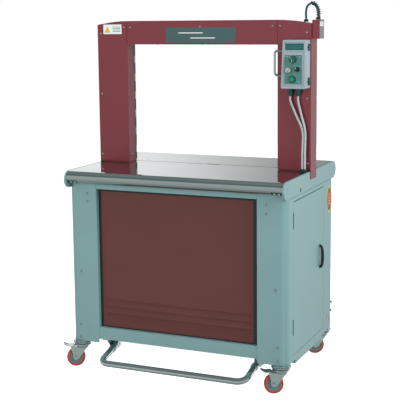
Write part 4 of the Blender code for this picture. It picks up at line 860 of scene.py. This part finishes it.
def fluted(radius, depth, foot, count):
    """Turned knob with flutes round its rim, its face towards the front."""
    shape = bmesh.new()
    steps = count * 4
    rings = []
    for share, height in ((0.0, -0.008), (0.20, -0.008), (0.20, foot), (0.98, foot), (1.0, foot + 0.001),
                          (1.0, foot + depth * 0.75), (0.93, foot + depth * 0.93), (0.86, foot + depth),
                          (0.0, foot + depth)):
        loop = []
        for k in range(steps):
            dip = 0.045 * (0.5 + 0.5 * cos(2 * pi * k / 4)) if share > 0.9 else 0.0
            reach = radius * max(share - dip, 0.0)
            turn = 2 * pi * k / steps
            loop.append(shape.verts.new((reach * cos(turn), -height, reach * sin(turn))))
        rings.append(loop)
    for one, two in zip(rings, rings[1:]):
        for k in range(steps):
            after = (k + 1) % steps
            shape.faces.new((one[k], one[after], two[after], two[k]))
    return shape


def at_knob(spot):
    """Move a knob from its own axis to its place on the lid."""
    return Matrix.Translation((spot[0], LID_FACE, spot[1]))


def knobs():
    """Dial, two selectors and the start button with its ring."""
    make("dial_cap", fluted(0.0143, 0.0150, 0.0006, 18), "dark_teal", "dial", ["dial_knob"],
         turn=at_knob(DIAL))
    spot = turned(bmesh.new(), [(0, 0), (0.0019, 0), (0.0019, 0.0004), (0, 0.0007)],
                  (-0.0068, -0.0156, 0.0072), FRONT, 14)
    slab(spot, (-0.0006, -0.0162, -0.0090), (0.0006, -0.0155, 0.0020), 0.0002, 1)
    make("dial_pointer", spot, "white", "dial", turn=at_knob(DIAL))
    for name, spot, radius, kind, lean in (("selector_left", SELECTOR_LEFT, 0.0125, "chrome", 0.6),
                                           ("selector_right", SELECTOR_RIGHT, 0.0090, "black", -0.35)):
        body = {"selector_left": "left_selector", "selector_right": "right_selector"}[name]
        shape = bmesh.new()
        turned(shape, [(0, -0.008), (0.0029, -0.008), (0.0029, 0.0006), (radius, 0.0006), (radius, 0.0045),
                       (radius * 0.90, 0.0062), (radius * 0.70, 0.0068), (0, 0.0068)], (0, 0, 0), FRONT, 36)
        grip = bmesh.new()
        wing = [(-0.24, -0.92, 0.001), (0.24, -0.92, 0.001), (0.17, 0.95, 0.001), (-0.17, 0.95, 0.001)]
        plate(grip, [(u * radius, v * radius, r) for u, v, r in wing], -0.0060, -0.0165, edge=0.0008)
        bmesh.ops.rotate(grip, cent=(0, 0, 0), matrix=Matrix.Rotation(lean, 3, "Y"), verts=grip.verts)
        holder = bpy.data.meshes.new("grip")
        grip.to_mesh(holder)
        grip.free()
        shape.from_mesh(holder)
        make(name + "_knob", shape, kind, body, [name], turn=at_knob(spot))
        mark = bmesh.new()
        slab(mark, (-0.0005, -0.0170, radius * 0.2), (0.0005, -0.0163, radius * 0.85), 0.0001, 1)
        bmesh.ops.rotate(mark, cent=(0, 0, 0), matrix=Matrix.Rotation(lean, 3, "Y"), verts=mark.verts)
        make(name + "_line", mark, "white", body, turn=at_knob(spot))
    collar = ring(bmesh.new(), [(0.0106, 0.0), (0.0140, 0.0), (0.0140, 0.0028), (0.0130, 0.0042),
                                (0.0112, 0.0042)],
                  (0, 0, 0), FRONT, 40)
    make("start_ring", collar, "dark_teal", "control_lid", turn=at_knob(START))
    lens = turned(bmesh.new(), [(0, -0.007), (0.0029, -0.007), (0.0029, 0.0042), (0.0099, 0.0042),
                                (0.0099, 0.0088), (0.0092, 0.0104), (0.0070, 0.0116), (0.0040, 0.0123),
                                (0, 0.0125)], (0, 0, 0), FRONT, 40)
    make("start_lens", lens, "lens", "start_push", ["start_button"], turn=at_knob(START))


def box_fittings():
    """Bosses of the U handle and ribbed cable glands."""
    bosses = bmesh.new()
    for z, x in ((BOX_LOW + 0.047, BOX_LEFT - 0.0010), (BOX_LOW + 0.142, BOX_LEFT + 0.0015)):
        turned(bosses, [(0, 0.0), (0.0078, 0.0), (0.0078, 0.0035), (0.0062, 0.0060), (0, 0.0060)],
               (x, BOX_FACE + 0.013, z), LEFT, 24)
    make("handle_bosses", bosses, "zinc")
    for name, (x, y) in GLANDS.items():
        shape = bmesh.new()
        top = BOX_LOW - 0.0005
        turned(shape, [(0, 0), (0.0122, 0), (0.0122, 0.0060), (0.0108, 0.0070), (0, 0.0070)], (x, y, top),
               DOWN, 6)
        turned(shape, [(0, 0.006), (0.0095, 0.006), (0.0095, 0.0145), (0.0086, 0.0165), (0.0090, 0.0175),
                       (0.0080, 0.0205), (0.0083, 0.0215), (0.0072, 0.0250), (0.0064, 0.0298), (0, 0.0298)],
                       (x, y, top), DOWN, 24)
        make(name + "_body", shape, "dark_teal", replaced=[name], angle=30)
        repeated(name + "_ribs", "bar", [((x + 0.0094 * cos(t), y + 0.0094 * sin(t), top - 0.0108),
                                          (cos(t), sin(t), 0), UP) for t in [pi * k / 7 for k in range(14)]],
                 "dark_teal", length=0.0062, width=0.0014, rise=0.0012)


def junction_details():
    """Label, cover screws and cover edge of the junction box."""
    x = ARCH_OUTER + 0.0295
    label = plate(bmesh.new(), oblong((-0.008, 0.036), (1.368, 1.384), 0.0015), x, x + 0.0006, "X",
                  edge=0.0002)
    make("junction_label", label, "white")
    lines = [((x + 0.0006, 0.014, z), RIGHT, BACK) for z in (1.372, 1.376, 1.380)]
    repeated("junction_label_lines", "bar", lines, "dark_teal", length=0.030, width=0.0012, rise=0.0004)
    dots = [((x, y, z), RIGHT) for y in (-0.009, 0.039) for z in (1.326, 1.361)]
    repeated("junction_screws", "screw", dots, "zinc", radius=0.0026, rise=0.0014)
    ribs = [((x, y, 1.344), RIGHT, UP) for y in (-0.006, 0.003, 0.012, 0.021, 0.030)]
    repeated("junction_cover_ribs", "bar", ribs, "magazine", length=0.036, width=0.0022, rise=0.0012)
    cover = plate(bmesh.new(), oblong((-0.0122, 0.0422), (1.3228, 1.3892), 0.0015), x - 0.0004, x + 0.0004,
                  "X")
    make("junction_cover", cover, "magazine")
    seam = frame_ring(bmesh.new(), oblong((-0.0146, 0.0446), (1.3204, 1.3916), 0.002),
                      oblong((-0.0126, 0.0426), (1.3224, 1.3896), 0.0015), x - 0.0010, x + 0.0006, "X")
    make("junction_cover_edge", seam, "red")


# ---------------------------------------------------------------- cords
def smooth_path(points, spacing):
    """Evenly spaced points on a smooth curve through the given ones."""
    points = [Vector(point) for point in points]
    dense = []
    for index in range(len(points) - 1):
        before = points[max(index - 1, 0)]
        here, there = points[index], points[index + 1]
        after = points[min(index + 2, len(points) - 1)]
        for step in range(24):
            t = step / 24
            square = (2 * before - 5 * here + 4 * there - after) * t ** 2
            cube = (3 * here - before - 3 * there + after) * t ** 3
            dense.append(0.5 * (2 * here + (there - before) * t + square + cube))
    dense.append(points[-1])
    total = sum((b - a).length for a, b in zip(dense, dense[1:]))
    count = max(2, round(total / spacing))
    even = [dense[0]]
    walked = 0.0
    for a, b in zip(dense, dense[1:]):
        walked += (b - a).length
        if walked >= len(even) * total / count and len(even) < count:
            even.append(b)
    even.append(dense[-1])
    return [point + SHIFT for point in even]


def cord_line(name, points, radius, kind):
    """A cord as one open curve with a round section."""
    curve = bpy.data.curves.new(name, "CURVE")
    curve.dimensions = "3D"
    curve.bevel_depth = radius
    curve.bevel_resolution = 4
    curve.use_fill_caps = True
    line = curve.splines.new("POLY")
    line.points.add(len(points) - 1)
    for dot, spot in zip(line.points, points):
        dot.co = (*spot, 1.0)
    line.use_smooth = True
    curve.materials.append(FINISH[kind])
    made = bpy.data.objects.new(name, curve)
    bpy.context.scene.collection.objects.link(made)
    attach(made, MACHINE)
    return made


def wrap_tree():
    """Spiral wrap: a flat band wound round a guide curve, its pitch and sizes given."""
    tree = bpy.data.node_groups.new("spiral_wrap", "GeometryNodeTree")
    tree.interface.new_socket("Guide", in_out="INPUT", socket_type="NodeSocketGeometry")
    for label, value in (("Radius", 0.0075), ("Pitch", 0.008), ("Band", 0.0026), ("Step", 0.0006)):
        tree.interface.new_socket(label, in_out="INPUT", socket_type="NodeSocketFloat").default_value = value
    tree.interface.new_socket("Finish", in_out="INPUT", socket_type="NodeSocketMaterial")
    tree.interface.new_socket("Wrap", in_out="OUTPUT", socket_type="NodeSocketGeometry")
    inputs = add_node(tree, "NodeGroupInput").outputs
    fine = add_node(tree, "GeometryNodeResampleCurve", {"mode": "LENGTH"},
                    {"Curve": inputs["Guide"], "Length": inputs["Step"]})
    walked = add_node(tree, "GeometryNodeSplineParameter").outputs["Length"]
    laps = add_node(tree, "ShaderNodeMath", {"operation": "DIVIDE"},
                    {0: walked, 1: inputs["Pitch"]}).outputs[0]
    angle = times(tree, laps, 2 * pi)
    along = add_node(tree, "GeometryNodeInputTangent").outputs[0]
    out = add_node(tree, "GeometryNodeInputNormal").outputs[0]
    spun = add_node(tree, "ShaderNodeVectorRotate", {"rotation_type": "AXIS_ANGLE"},
                    {"Vector": out, "Axis": along, "Angle": angle})
    reach = add_node(tree, "ShaderNodeVectorMath", {"operation": "SCALE"}, {"Vector": spun.outputs[0],
                                                                          "Scale": inputs["Radius"]})
    wound = add_node(tree, "GeometryNodeSetPosition", links={"Geometry": fine.outputs["Curve"],
                                                             "Offset": reach.outputs[0]})
    section = add_node(tree, "GeometryNodeCurvePrimitiveCircle",
                       links={"Radius": times(tree, inputs["Band"], 0.5)}, Resolution=8)
    band = add_node(tree, "GeometryNodeCurveToMesh", links={"Curve": wound.outputs["Geometry"],
                                                            "Profile Curve": section.outputs["Curve"]})
    band.inputs["Fill Caps"].default_value = True
    real = add_node(tree, "GeometryNodeRealizeInstances", links={"Geometry": band.outputs["Mesh"]})
    painted = add_node(tree, "GeometryNodeSetMaterial", links={"Geometry": real.outputs["Geometry"],
                                                               "Material": inputs["Finish"]})
    add_node(tree, "NodeGroupOutput", links={"Wrap": painted.outputs["Geometry"]})
    return tree


def spiral_wrap(points):
    """Wrap the stretch of cord that is given."""
    guide = cord_line("wrap_guide", points, 0.0, "cord")
    step = guide.modifiers.new("wrap", "NODES")
    step.node_group = wrap_tree()
    sockets = {item.name: item.identifier for item in step.node_group.interface.items_tree}
    step[sockets["Radius"]] = 0.0060
    step[sockets["Pitch"]] = 0.0082
    step[sockets["Band"]] = 0.0050
    step[sockets["Finish"]] = FINISH["cord"]
    return place("spiral_wrap", evaluated(guide, "spiral_wrap"), "cord")


def cords():
    """Two control cables, and the wrapped cord from the junction box into the arch."""
    for name, (x, y) in (("cable_left", GLANDS["gland_left"]), ("cable_right", GLANDS["gland_right"])):
        foot_x = GROMMET[0] + (0.0052 if name == "cable_right" else -0.0052)
        top = BOX_LOW - 0.001 - 0.030
        low = TABLE + 0.0125
        line = smooth_path([(x, y, top), (x, y, top - 0.018),
                            (x + (foot_x - x) * 0.45, y - 0.002, top - 0.070),
                            (foot_x, y - 0.004, top - 0.135), (foot_x, GROMMET[1], low + 0.060),
                            (foot_x, GROMMET[1], low)], 0.011)
        cable = cord_line(name + "_jacket", line, CORD, "cable")
        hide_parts(name)
    (x, y), (end_x, end_y) = (0.4755, 0.018), (0.426, 0.022)
    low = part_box("cord_gland")[1].z + 0.0005
    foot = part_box("arch_gland")[1].z + 0.0005
    line = smooth_path([(x, y, low), (x + 0.001, y, low + 0.018), (x - 0.006, y, low + 0.041),
                        ((x + end_x) / 2, (y + end_y) / 2, low + 0.053), (end_x + 0.004, end_y, low + 0.040),
                        (end_x - 0.001, end_y, low + 0.016), (end_x, end_y, foot)], 0.010)
    cord = cord_line("arch_cord_jacket", line, CORD, "cord")
    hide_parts("arch_cord")
    wrap = spiral_wrap(line[:8])


# ---------------------------------------------------------------- casters
def caster(spot, x, y):
    """Tyre, hub, axle nuts, swivel race, top bolts, and a brake pedal in front."""
    here = Matrix.Translation((x, y, 0)) @ Matrix.Rotation(HEADING, 4, "Z")
    swivel, wheel = "swivel_" + spot, "wheel_" + spot
    centre = (TRAIL, 0, WHEEL)
    half = 0.012
    tread = []
    for k in range(9):
        turn = -pi / 2 + pi * k / 8
        side = 1 if turn > 0 else -1
        tread.append((WHEEL - TYRE + TYRE * cos(turn), (half - TYRE) * side + TYRE * sin(turn)))
    tyre = ring(bmesh.new(), [(0.0262, -half + 0.0008)] + tread + [(0.0262, half - 0.0008)], centre, BACK, 64)
    make("tyre_" + spot, tyre, "tyre", wheel, ["caster_wheel_" + spot], turn=here)
    hub = ring(bmesh.new(), [(0.0045, -half - 0.0008), (0.0095, -half - 0.0008), (0.0110, -half + 0.0030),
                             (0.0215, -half + 0.0030), (0.0240, -half + 0.0006), (0.0263, -half + 0.0006),
                             (0.0263, half - 0.0006), (0.0240, half - 0.0006), (0.0215, half - 0.0030),
                             (0.0110, half - 0.0030), (0.0095, half + 0.0008), (0.0045, half + 0.0008)],
                             centre, BACK, 48)
    make("hub_" + spot, hub, "hub", wheel, turn=here)
    webs = []
    for side in (-1, 1):
        for k in range(8):
            turn = 2 * pi * k / 8
            spoke = Vector((cos(turn), 0, sin(turn)))
            webs.append((Vector(centre) + spoke * 0.0165 + BACK * side * (half - 0.0024), BACK * side, spoke))
    repeated("webs_" + spot, "bar", webs, "hub", wheel, turn=here, length=0.011, width=0.0018, rise=0.0016)
    outer = half + 0.0015 + 0.0025
    nuts = [((TRAIL, side * (outer + 0.0012), WHEEL), BACK * side) for side in (-1, 1)]
    repeated("axle_nuts_" + spot, "bolt", nuts, "zinc", swivel, turn=here, radius=0.0068, rise=0.0050)
    race = bmesh.new()
    ring(race, [(0.0200, 0.1010), (0.0360, 0.1010), (0.0380, 0.1030), (0.0380, 0.1056), (0.0360, 0.1076),
                (0.0200, 0.1076)],
         (0, 0, 0), UP, 40)
    ring(race, [(0.0150, 0.0880), (0.0300, 0.0880), (0.0335, 0.0910), (0.0335, 0.0950), (0.0300, 0.0990),
                (0.0150, 0.0990)],
         (0, 0, 0), UP, 40)
    make("swivel_race_" + spot, race, "zinc", swivel, turn=here)
    dots = [((x + dx, y + dy, 0.1128), DOWN) for dx in (-0.012, 0.012) for dy in (-0.040, 0.040)]
    repeated("caster_bolts_" + spot, "bolt", dots, "zinc", radius=0.0040, rise=0.0030)
    if spot.startswith("front"):
        brake_pedal(spot, here)


def brake_pedal(spot, here):
    """Pressed brake pedal: cheeks beside the fork and a dished tread that ends in a curled toe."""
    low = 0.0825
    shape = bmesh.new()
    path = []
    for share in [k / 14 for k in range(15)]:
        reach = 0.0372 + (0.0775 - 0.0372) * share
        path.append((reach, low + 0.0018 + 0.0085 * max(share - 0.55, 0.0) ** 1.4 / 0.45 ** 1.4))
    for index in range(len(path) - 1):
        (x0, z0), (x1, z1) = path[index], path[index + 1]
        wide0 = 0.0215 - 0.0085 * (index / 14) ** 2
        wide1 = 0.0215 - 0.0085 * ((index + 1) / 14) ** 2
        if index == 0:
            loop = [shape.verts.new((x0, v * wide0, z0 + d)) for v, d in tread_section()]
        after = [shape.verts.new((x1, v * wide1, z1 + d)) for v, d in tread_section()]
        for k in range(len(loop)):
            shape.faces.new((loop[k], loop[(k + 1) % len(loop)], after[(k + 1) % len(loop)], after[k]))
        if index == 0:
            shape.faces.new(loop)
        loop = after
    shape.faces.new(loop)
    for side in (-1, 1):
        outline = [Vector(point) for point in ((0.0310, 0.0840), (0.0300, 0.0560), (0.0340, 0.0530),
                                               (0.0400, 0.0560), (0.0470, 0.0800), (0.0470, 0.0855),
                                               (0.0372, 0.0855))]
        near, far = sorted((side * 0.0166, side * 0.0189))
        layered(shape, [(outline, near), (outline, far)])
    make("pedal_" + spot, shape, "zinc", "pedal_" + spot, ["brake_pedal_" + spot], turn=here)


def tread_section():
    """Dished cross section of the pedal as (share of half width, height)."""
    top = [(v, 0.0014 + 0.0016 * abs(v) ** 3) for v in (-1.0, -0.75, -0.4, 0.0, 0.4, 0.75, 1.0)]
    return top + [(v, d - 0.0022) for v, d in top[::-1]]


# ---------------------------------------------------------------- foot bar
def foot_bar():
    """Chromed tube bent round three sides, with its eyes, collars and hanger bolts."""
    left, right, back, front = -0.292, 0.318, -0.225, -0.375
    low, high = 0.060, 0.095
    bend = 0.036
    plan = [(left, back), (left, back - 0.04)]
    quarter = [pi / 2 * k / 14 for k in range(15)]
    plan += [(left + bend - bend * cos(t), front + bend - bend * sin(t)) for t in quarter]
    plan += [(left + bend + (right - left - 2 * bend) * k / 6, front) for k in range(1, 6)]
    plan += [(right - bend + bend * sin(t), front + bend - bend * cos(t)) for t in quarter]
    plan += [(right, back - 0.04), (right, back)]
    rise = (high - low) / (back - front)
    shape = bmesh.new()
    swept(shape, [(x, y, low + (y - front) * rise) for x, y in plan], circle(0.0125, 28))
    for x in (left, right):
        turned(shape, [(0, -0.0114), (0.0145, -0.0114), (0.0160, -0.0100), (0.0160, 0.0100),
                       (0.0145, 0.0114), (0, 0.0114)],
               (x, back, high), RIGHT, 32)
    make("chromed_foot_bar", shape, "chrome", "foot_bar", ["foot_bar"])
    sleeves = bmesh.new()
    for x in (left, right):
        way = Vector((0, 1, rise)).normalized()
        foot = Vector((x, back - 0.050, low + (back - 0.050 - front) * rise))
        ring(sleeves, [(0.0124, 0), (0.0142, 0), (0.0148, 0.002), (0.0148, 0.016), (0.0142, 0.018),
                       (0.0124, 0.018)], foot, way, 28)
    make("foot_bar_sleeves", sleeves, "zinc", "foot_bar")
    dots = [((x + side * 0.0215, back, high), RIGHT * side) for x, side in ((left, -1), (right, 1))]
    repeated("hanger_bolts", "bolt", dots, "zinc", radius=0.0075, rise=0.0050)
    dots = [((x + side * 0.027, -0.268, 0.1222), DOWN) for x, side in ((left, -1), (right, 1))]
    repeated("hanger_foot_bolts", "bolt", dots, "zinc", radius=0.0050, rise=0.0036)


# ---------------------------------------------------------------- inner works
def inner_works():
    """Ribs and nut of the reel, motor fins, cabinet door, head springs and bolts."""
    reel = Vector((0.085, -0.030, 0.385))
    spokes = []
    for near, side in ((0.0, -1), (0.196, 1)):
        for k in range(12):
            turn = 2 * pi * k / 12
            spoke = Vector((0, cos(turn), sin(turn)))
            spokes.append((reel + RIGHT * near + spoke * 0.098, RIGHT * side, spoke))
    repeated("reel_ribs", "bar", spokes, "cast", "reel", length=0.150, width=0.006, rise=0.006)
    nut = bmesh.new()
    turned(nut, [(0, 0.0120), (0.024, 0.0120), (0.024, 0.0160), (0, 0.0160)], reel + RIGHT * 0.1962, RIGHT,
           32)
    turned(nut, [(0, 0.0155), (0.017, 0.0155), (0.016, 0.0250), (0, 0.0250)], reel + RIGHT * 0.1962, RIGHT, 6)
    make("reel_nut", nut, "zinc")
    fins = bmesh.new()
    motor = Vector((-0.238, -0.010, 0.6615))
    for k in range(11):
        ring(fins, [(0.0415, 0), (0.0455, 0), (0.0455, 0.0022), (0.0415, 0.0022)], motor + LEFT * 0.0105 * k,
             LEFT, 40)
    ring(fins, [(0.0415, 0), (0.0470, 0), (0.0470, 0.030), (0.0440, 0.033), (0.0415, 0.033)],
         motor + LEFT * 0.118, LEFT, 40)
    slab(fins, (-0.320, -0.055, 0.690), (-0.262, 0.030, 0.722), 0.003)
    make("motor_fins", fins, "cast")
    dots = [((-0.18 + dx, -0.0605, 0.6605 + dz), FRONT) for dx in (-0.04, 0.04) for dz in (-0.035, 0.035)]
    dots += [((-0.075 + dx, -0.0605, 0.69 + dz), FRONT)
             for dx in (-0.025, 0.025) for dz in (-0.06, 0.0, 0.06)]
    repeated("works_bolts", "bolt", dots, "zinc", radius=0.0055, rise=0.0040)
    door = plate(bmesh.new(), oblong((-0.392, -0.128), (0.152, 0.458), 0.006), -0.2205, -0.2240, edge=0.001)
    make("electrical_door", door, "box")
    catch = turned(bmesh.new(), [(0, 0), (0.011, 0), (0.011, 0.002), (0.009, 0.004), (0, 0.004)],
                   (-0.150, -0.2238, 0.305), FRONT, 28)
    slab(catch, (-0.1515, -0.2300, 0.2965), (-0.1485, -0.2270, 0.3135), 0.0005, 1)
    make("electrical_catch", catch, "zinc")
    springs = bmesh.new()
    for y in (0.105, 0.122):
        path = [(-0.030 + 0.0050 * cos(t), y + 0.0050 * sin(t),
                 0.650 + 0.0016 * t) for t in [0.3 * k for k in range(180)]]
        swept(springs, path, circle(0.0009, 6))
    make("head_springs", springs, "zinc")


# ---------------------------------------------------------------- camera and light
def camera():
    """Camera a little above the table, to the machine's right."""
    yaw, pitch, roll = 0.4189, -0.1467, -0.0115
    ahead = Vector((-sin(yaw) * cos(pitch), cos(yaw) * cos(pitch), sin(pitch)))
    right = Vector((cos(yaw), sin(yaw), 0.0))
    up = right.cross(ahead)
    right, up = cos(roll) * right + sin(roll) * up, cos(roll) * up - sin(roll) * right
    data = bpy.data.cameras.new("camera")
    data.lens = 95.51
    data.sensor_width = 36.0
    data.shift_x = 0.025
    data.shift_y = -0.075
    data.clip_end = 60.0
    made = bpy.data.objects.new("camera", data)
    turn = Matrix((right, up, -ahead)).transposed().to_4x4()
    made.matrix_world = Matrix.Translation(Vector((1.6837, -3.9143, 1.4216)) + SHIFT) @ turn
    bpy.context.scene.collection.objects.link(made)
    bpy.context.scene.camera = made
    return made


def glow(name, strength):
    """A white glowing material."""
    made = bpy.data.materials.new(name)
    made.use_nodes = True
    tree = made.node_tree
    tree.nodes.clear()
    light = add_node(tree, "ShaderNodeEmission", Color=linear("#ffffff"), Strength=strength)
    add_node(tree, "ShaderNodeOutputMaterial", links={"Surface": light.outputs[0]})
    return made


def card(name, width, height, material, *seen_by):
    """A card for the stage, seen only by the rays that are named."""
    shape = bmesh.new()
    bmesh.ops.create_grid(shape, x_segments=1, y_segments=1, size=0.5)
    bmesh.ops.scale(shape, vec=(width, height, 1), verts=shape.verts)
    mesh = bpy.data.meshes.new(name)
    shape.to_mesh(mesh)
    shape.free()
    mesh.materials.append(material)
    made = bpy.data.objects.new(name, mesh)
    bpy.context.scene.collection.objects.link(made)
    for ray in ("camera", "diffuse", "glossy", "transmission", "volume_scatter", "shadow"):
        setattr(made, "visible_" + ray, ray in seen_by)
    return made


def lamp(name, spot, size, power):
    """A square lamp aimed at the machine's middle."""
    data = bpy.data.lights.new(name, "AREA")
    data.size = size
    data.energy = power
    made = bpy.data.objects.new(name, data)
    made.location = Vector(spot) + SHIFT
    made.rotation_euler = (Vector((0, 0, 0.8)) - Vector(spot)).to_track_quat("-Z", "Y").to_euler()
    made.visible_glossy = False
    bpy.context.scene.collection.objects.link(made)


def studio(eye):
    """Pale floor and backdrop, a graded wall for the table to mirror, a soft room and three lamps."""
    backdrop = card("backdrop", 16.0, 16.0, glow("white_backdrop", 1.0), "camera")
    backdrop.parent = eye
    backdrop.location = (0.0, 0.0, -14.0)
    pale = glow("pale_floor", 0.93)
    tree = pale.node_tree
    matt = add_node(tree, "ShaderNodeBsdfDiffuse", Color=linear("#ffffff"))
    both_ways = add_node(tree, "ShaderNodeAddShader")
    tree.links.new(tree.nodes["Emission"].outputs[0], both_ways.inputs[0])
    tree.links.new(matt.outputs[0], both_ways.inputs[1])
    tree.links.new(both_ways.outputs[0], tree.nodes["Material Output"].inputs["Surface"])
    card("floor", 14.0, 14.0, pale, "camera")
    graded = glow("graded_wall", 1.0)
    tree = graded.node_tree
    across = add_node(tree, "ShaderNodeSeparateXYZ", links={
        "Vector": add_node(tree, "ShaderNodeTexCoord").outputs["Object"]}).outputs["X"]
    ramp = add_node(tree, "ShaderNodeMapRange", {"interpolation_type": "SMOOTHSTEP"}, {"Value": across},
                    From_Min=-0.75, From_Max=0.85, To_Min=1.02, To_Max=0.34)
    tree.links.new(ramp.outputs["Result"], tree.nodes["Emission"].inputs["Strength"])
    wall = card("graded_wall", 7.0, 6.0, graded, "glossy")
    wall.rotation_euler = (radians(90), 0, radians(24))
    wall.location = Vector((-1.2, 3.0, 1.6)) + SHIFT
    flank = card("bright_flank", 4.0, 5.0, glow("bright_flank", 1.15), "glossy")
    flank.rotation_euler = (radians(90), 0, radians(-24))
    flank.location = Vector((2.9, 4.0, 0.9)) + SHIFT
    world = bpy.data.worlds.new("studio")
    bpy.context.scene.world = world
    world.use_nodes = True
    tree = world.node_tree
    tree.nodes.clear()
    height = add_node(tree, "ShaderNodeSeparateXYZ", links={
        "Vector": add_node(tree, "ShaderNodeTexCoord").outputs["Generated"]}).outputs["Z"]
    share = add_node(tree, "ShaderNodeMapRange", links={"Value": height}, From_Min=-1.0)
    ramp = add_node(tree, "ShaderNodeValToRGB", links={"Fac": share.outputs["Result"]})
    ends = ramp.color_ramp.elements
    ends[0].color = linear("#8d9d9b")
    ends[1].color = linear("#97a5a4")
    for position, colour in ((0.35, "#c6cecb"), (0.42, "#eceee7"), (0.50, "#e2e6e0"), (0.60, "#b8c2bf"),
                             (0.70, "#748786"), (0.85, "#7c8d8c")):
        ends.new(position).color = linear(colour)
    sky = add_node(tree, "ShaderNodeBackground", links={"Color": ramp.outputs["Color"]}, Strength=0.85)
    add_node(tree, "ShaderNodeOutputWorld", links={"Surface": sky.outputs[0]})
    lamp("right_lamp", (3.4, -0.9, 2.0), 1.8, 84.0)
    lamp("front_lamp", (-1.0, -3.4, 1.5), 2.0, 50.0)
    lamp("top_lamp", (0.2, -0.6, 4.0), 2.2, 50.0)


# ---------------------------------------------------------------- making
studio(camera())
dress_frame()
arch_details()
chute_details()
table_details()
front_panel()
cabinet_details()
door_pulls()
lid_details()
knobs()
box_fittings()
junction_details()
cords()
for caster_spot, (caster_x, caster_y) in CASTERS.items():
    caster(caster_spot, caster_x, caster_y)
foot_bar()
inner_works()
bpy.context.scene.view_settings.view_transform = "Standard"
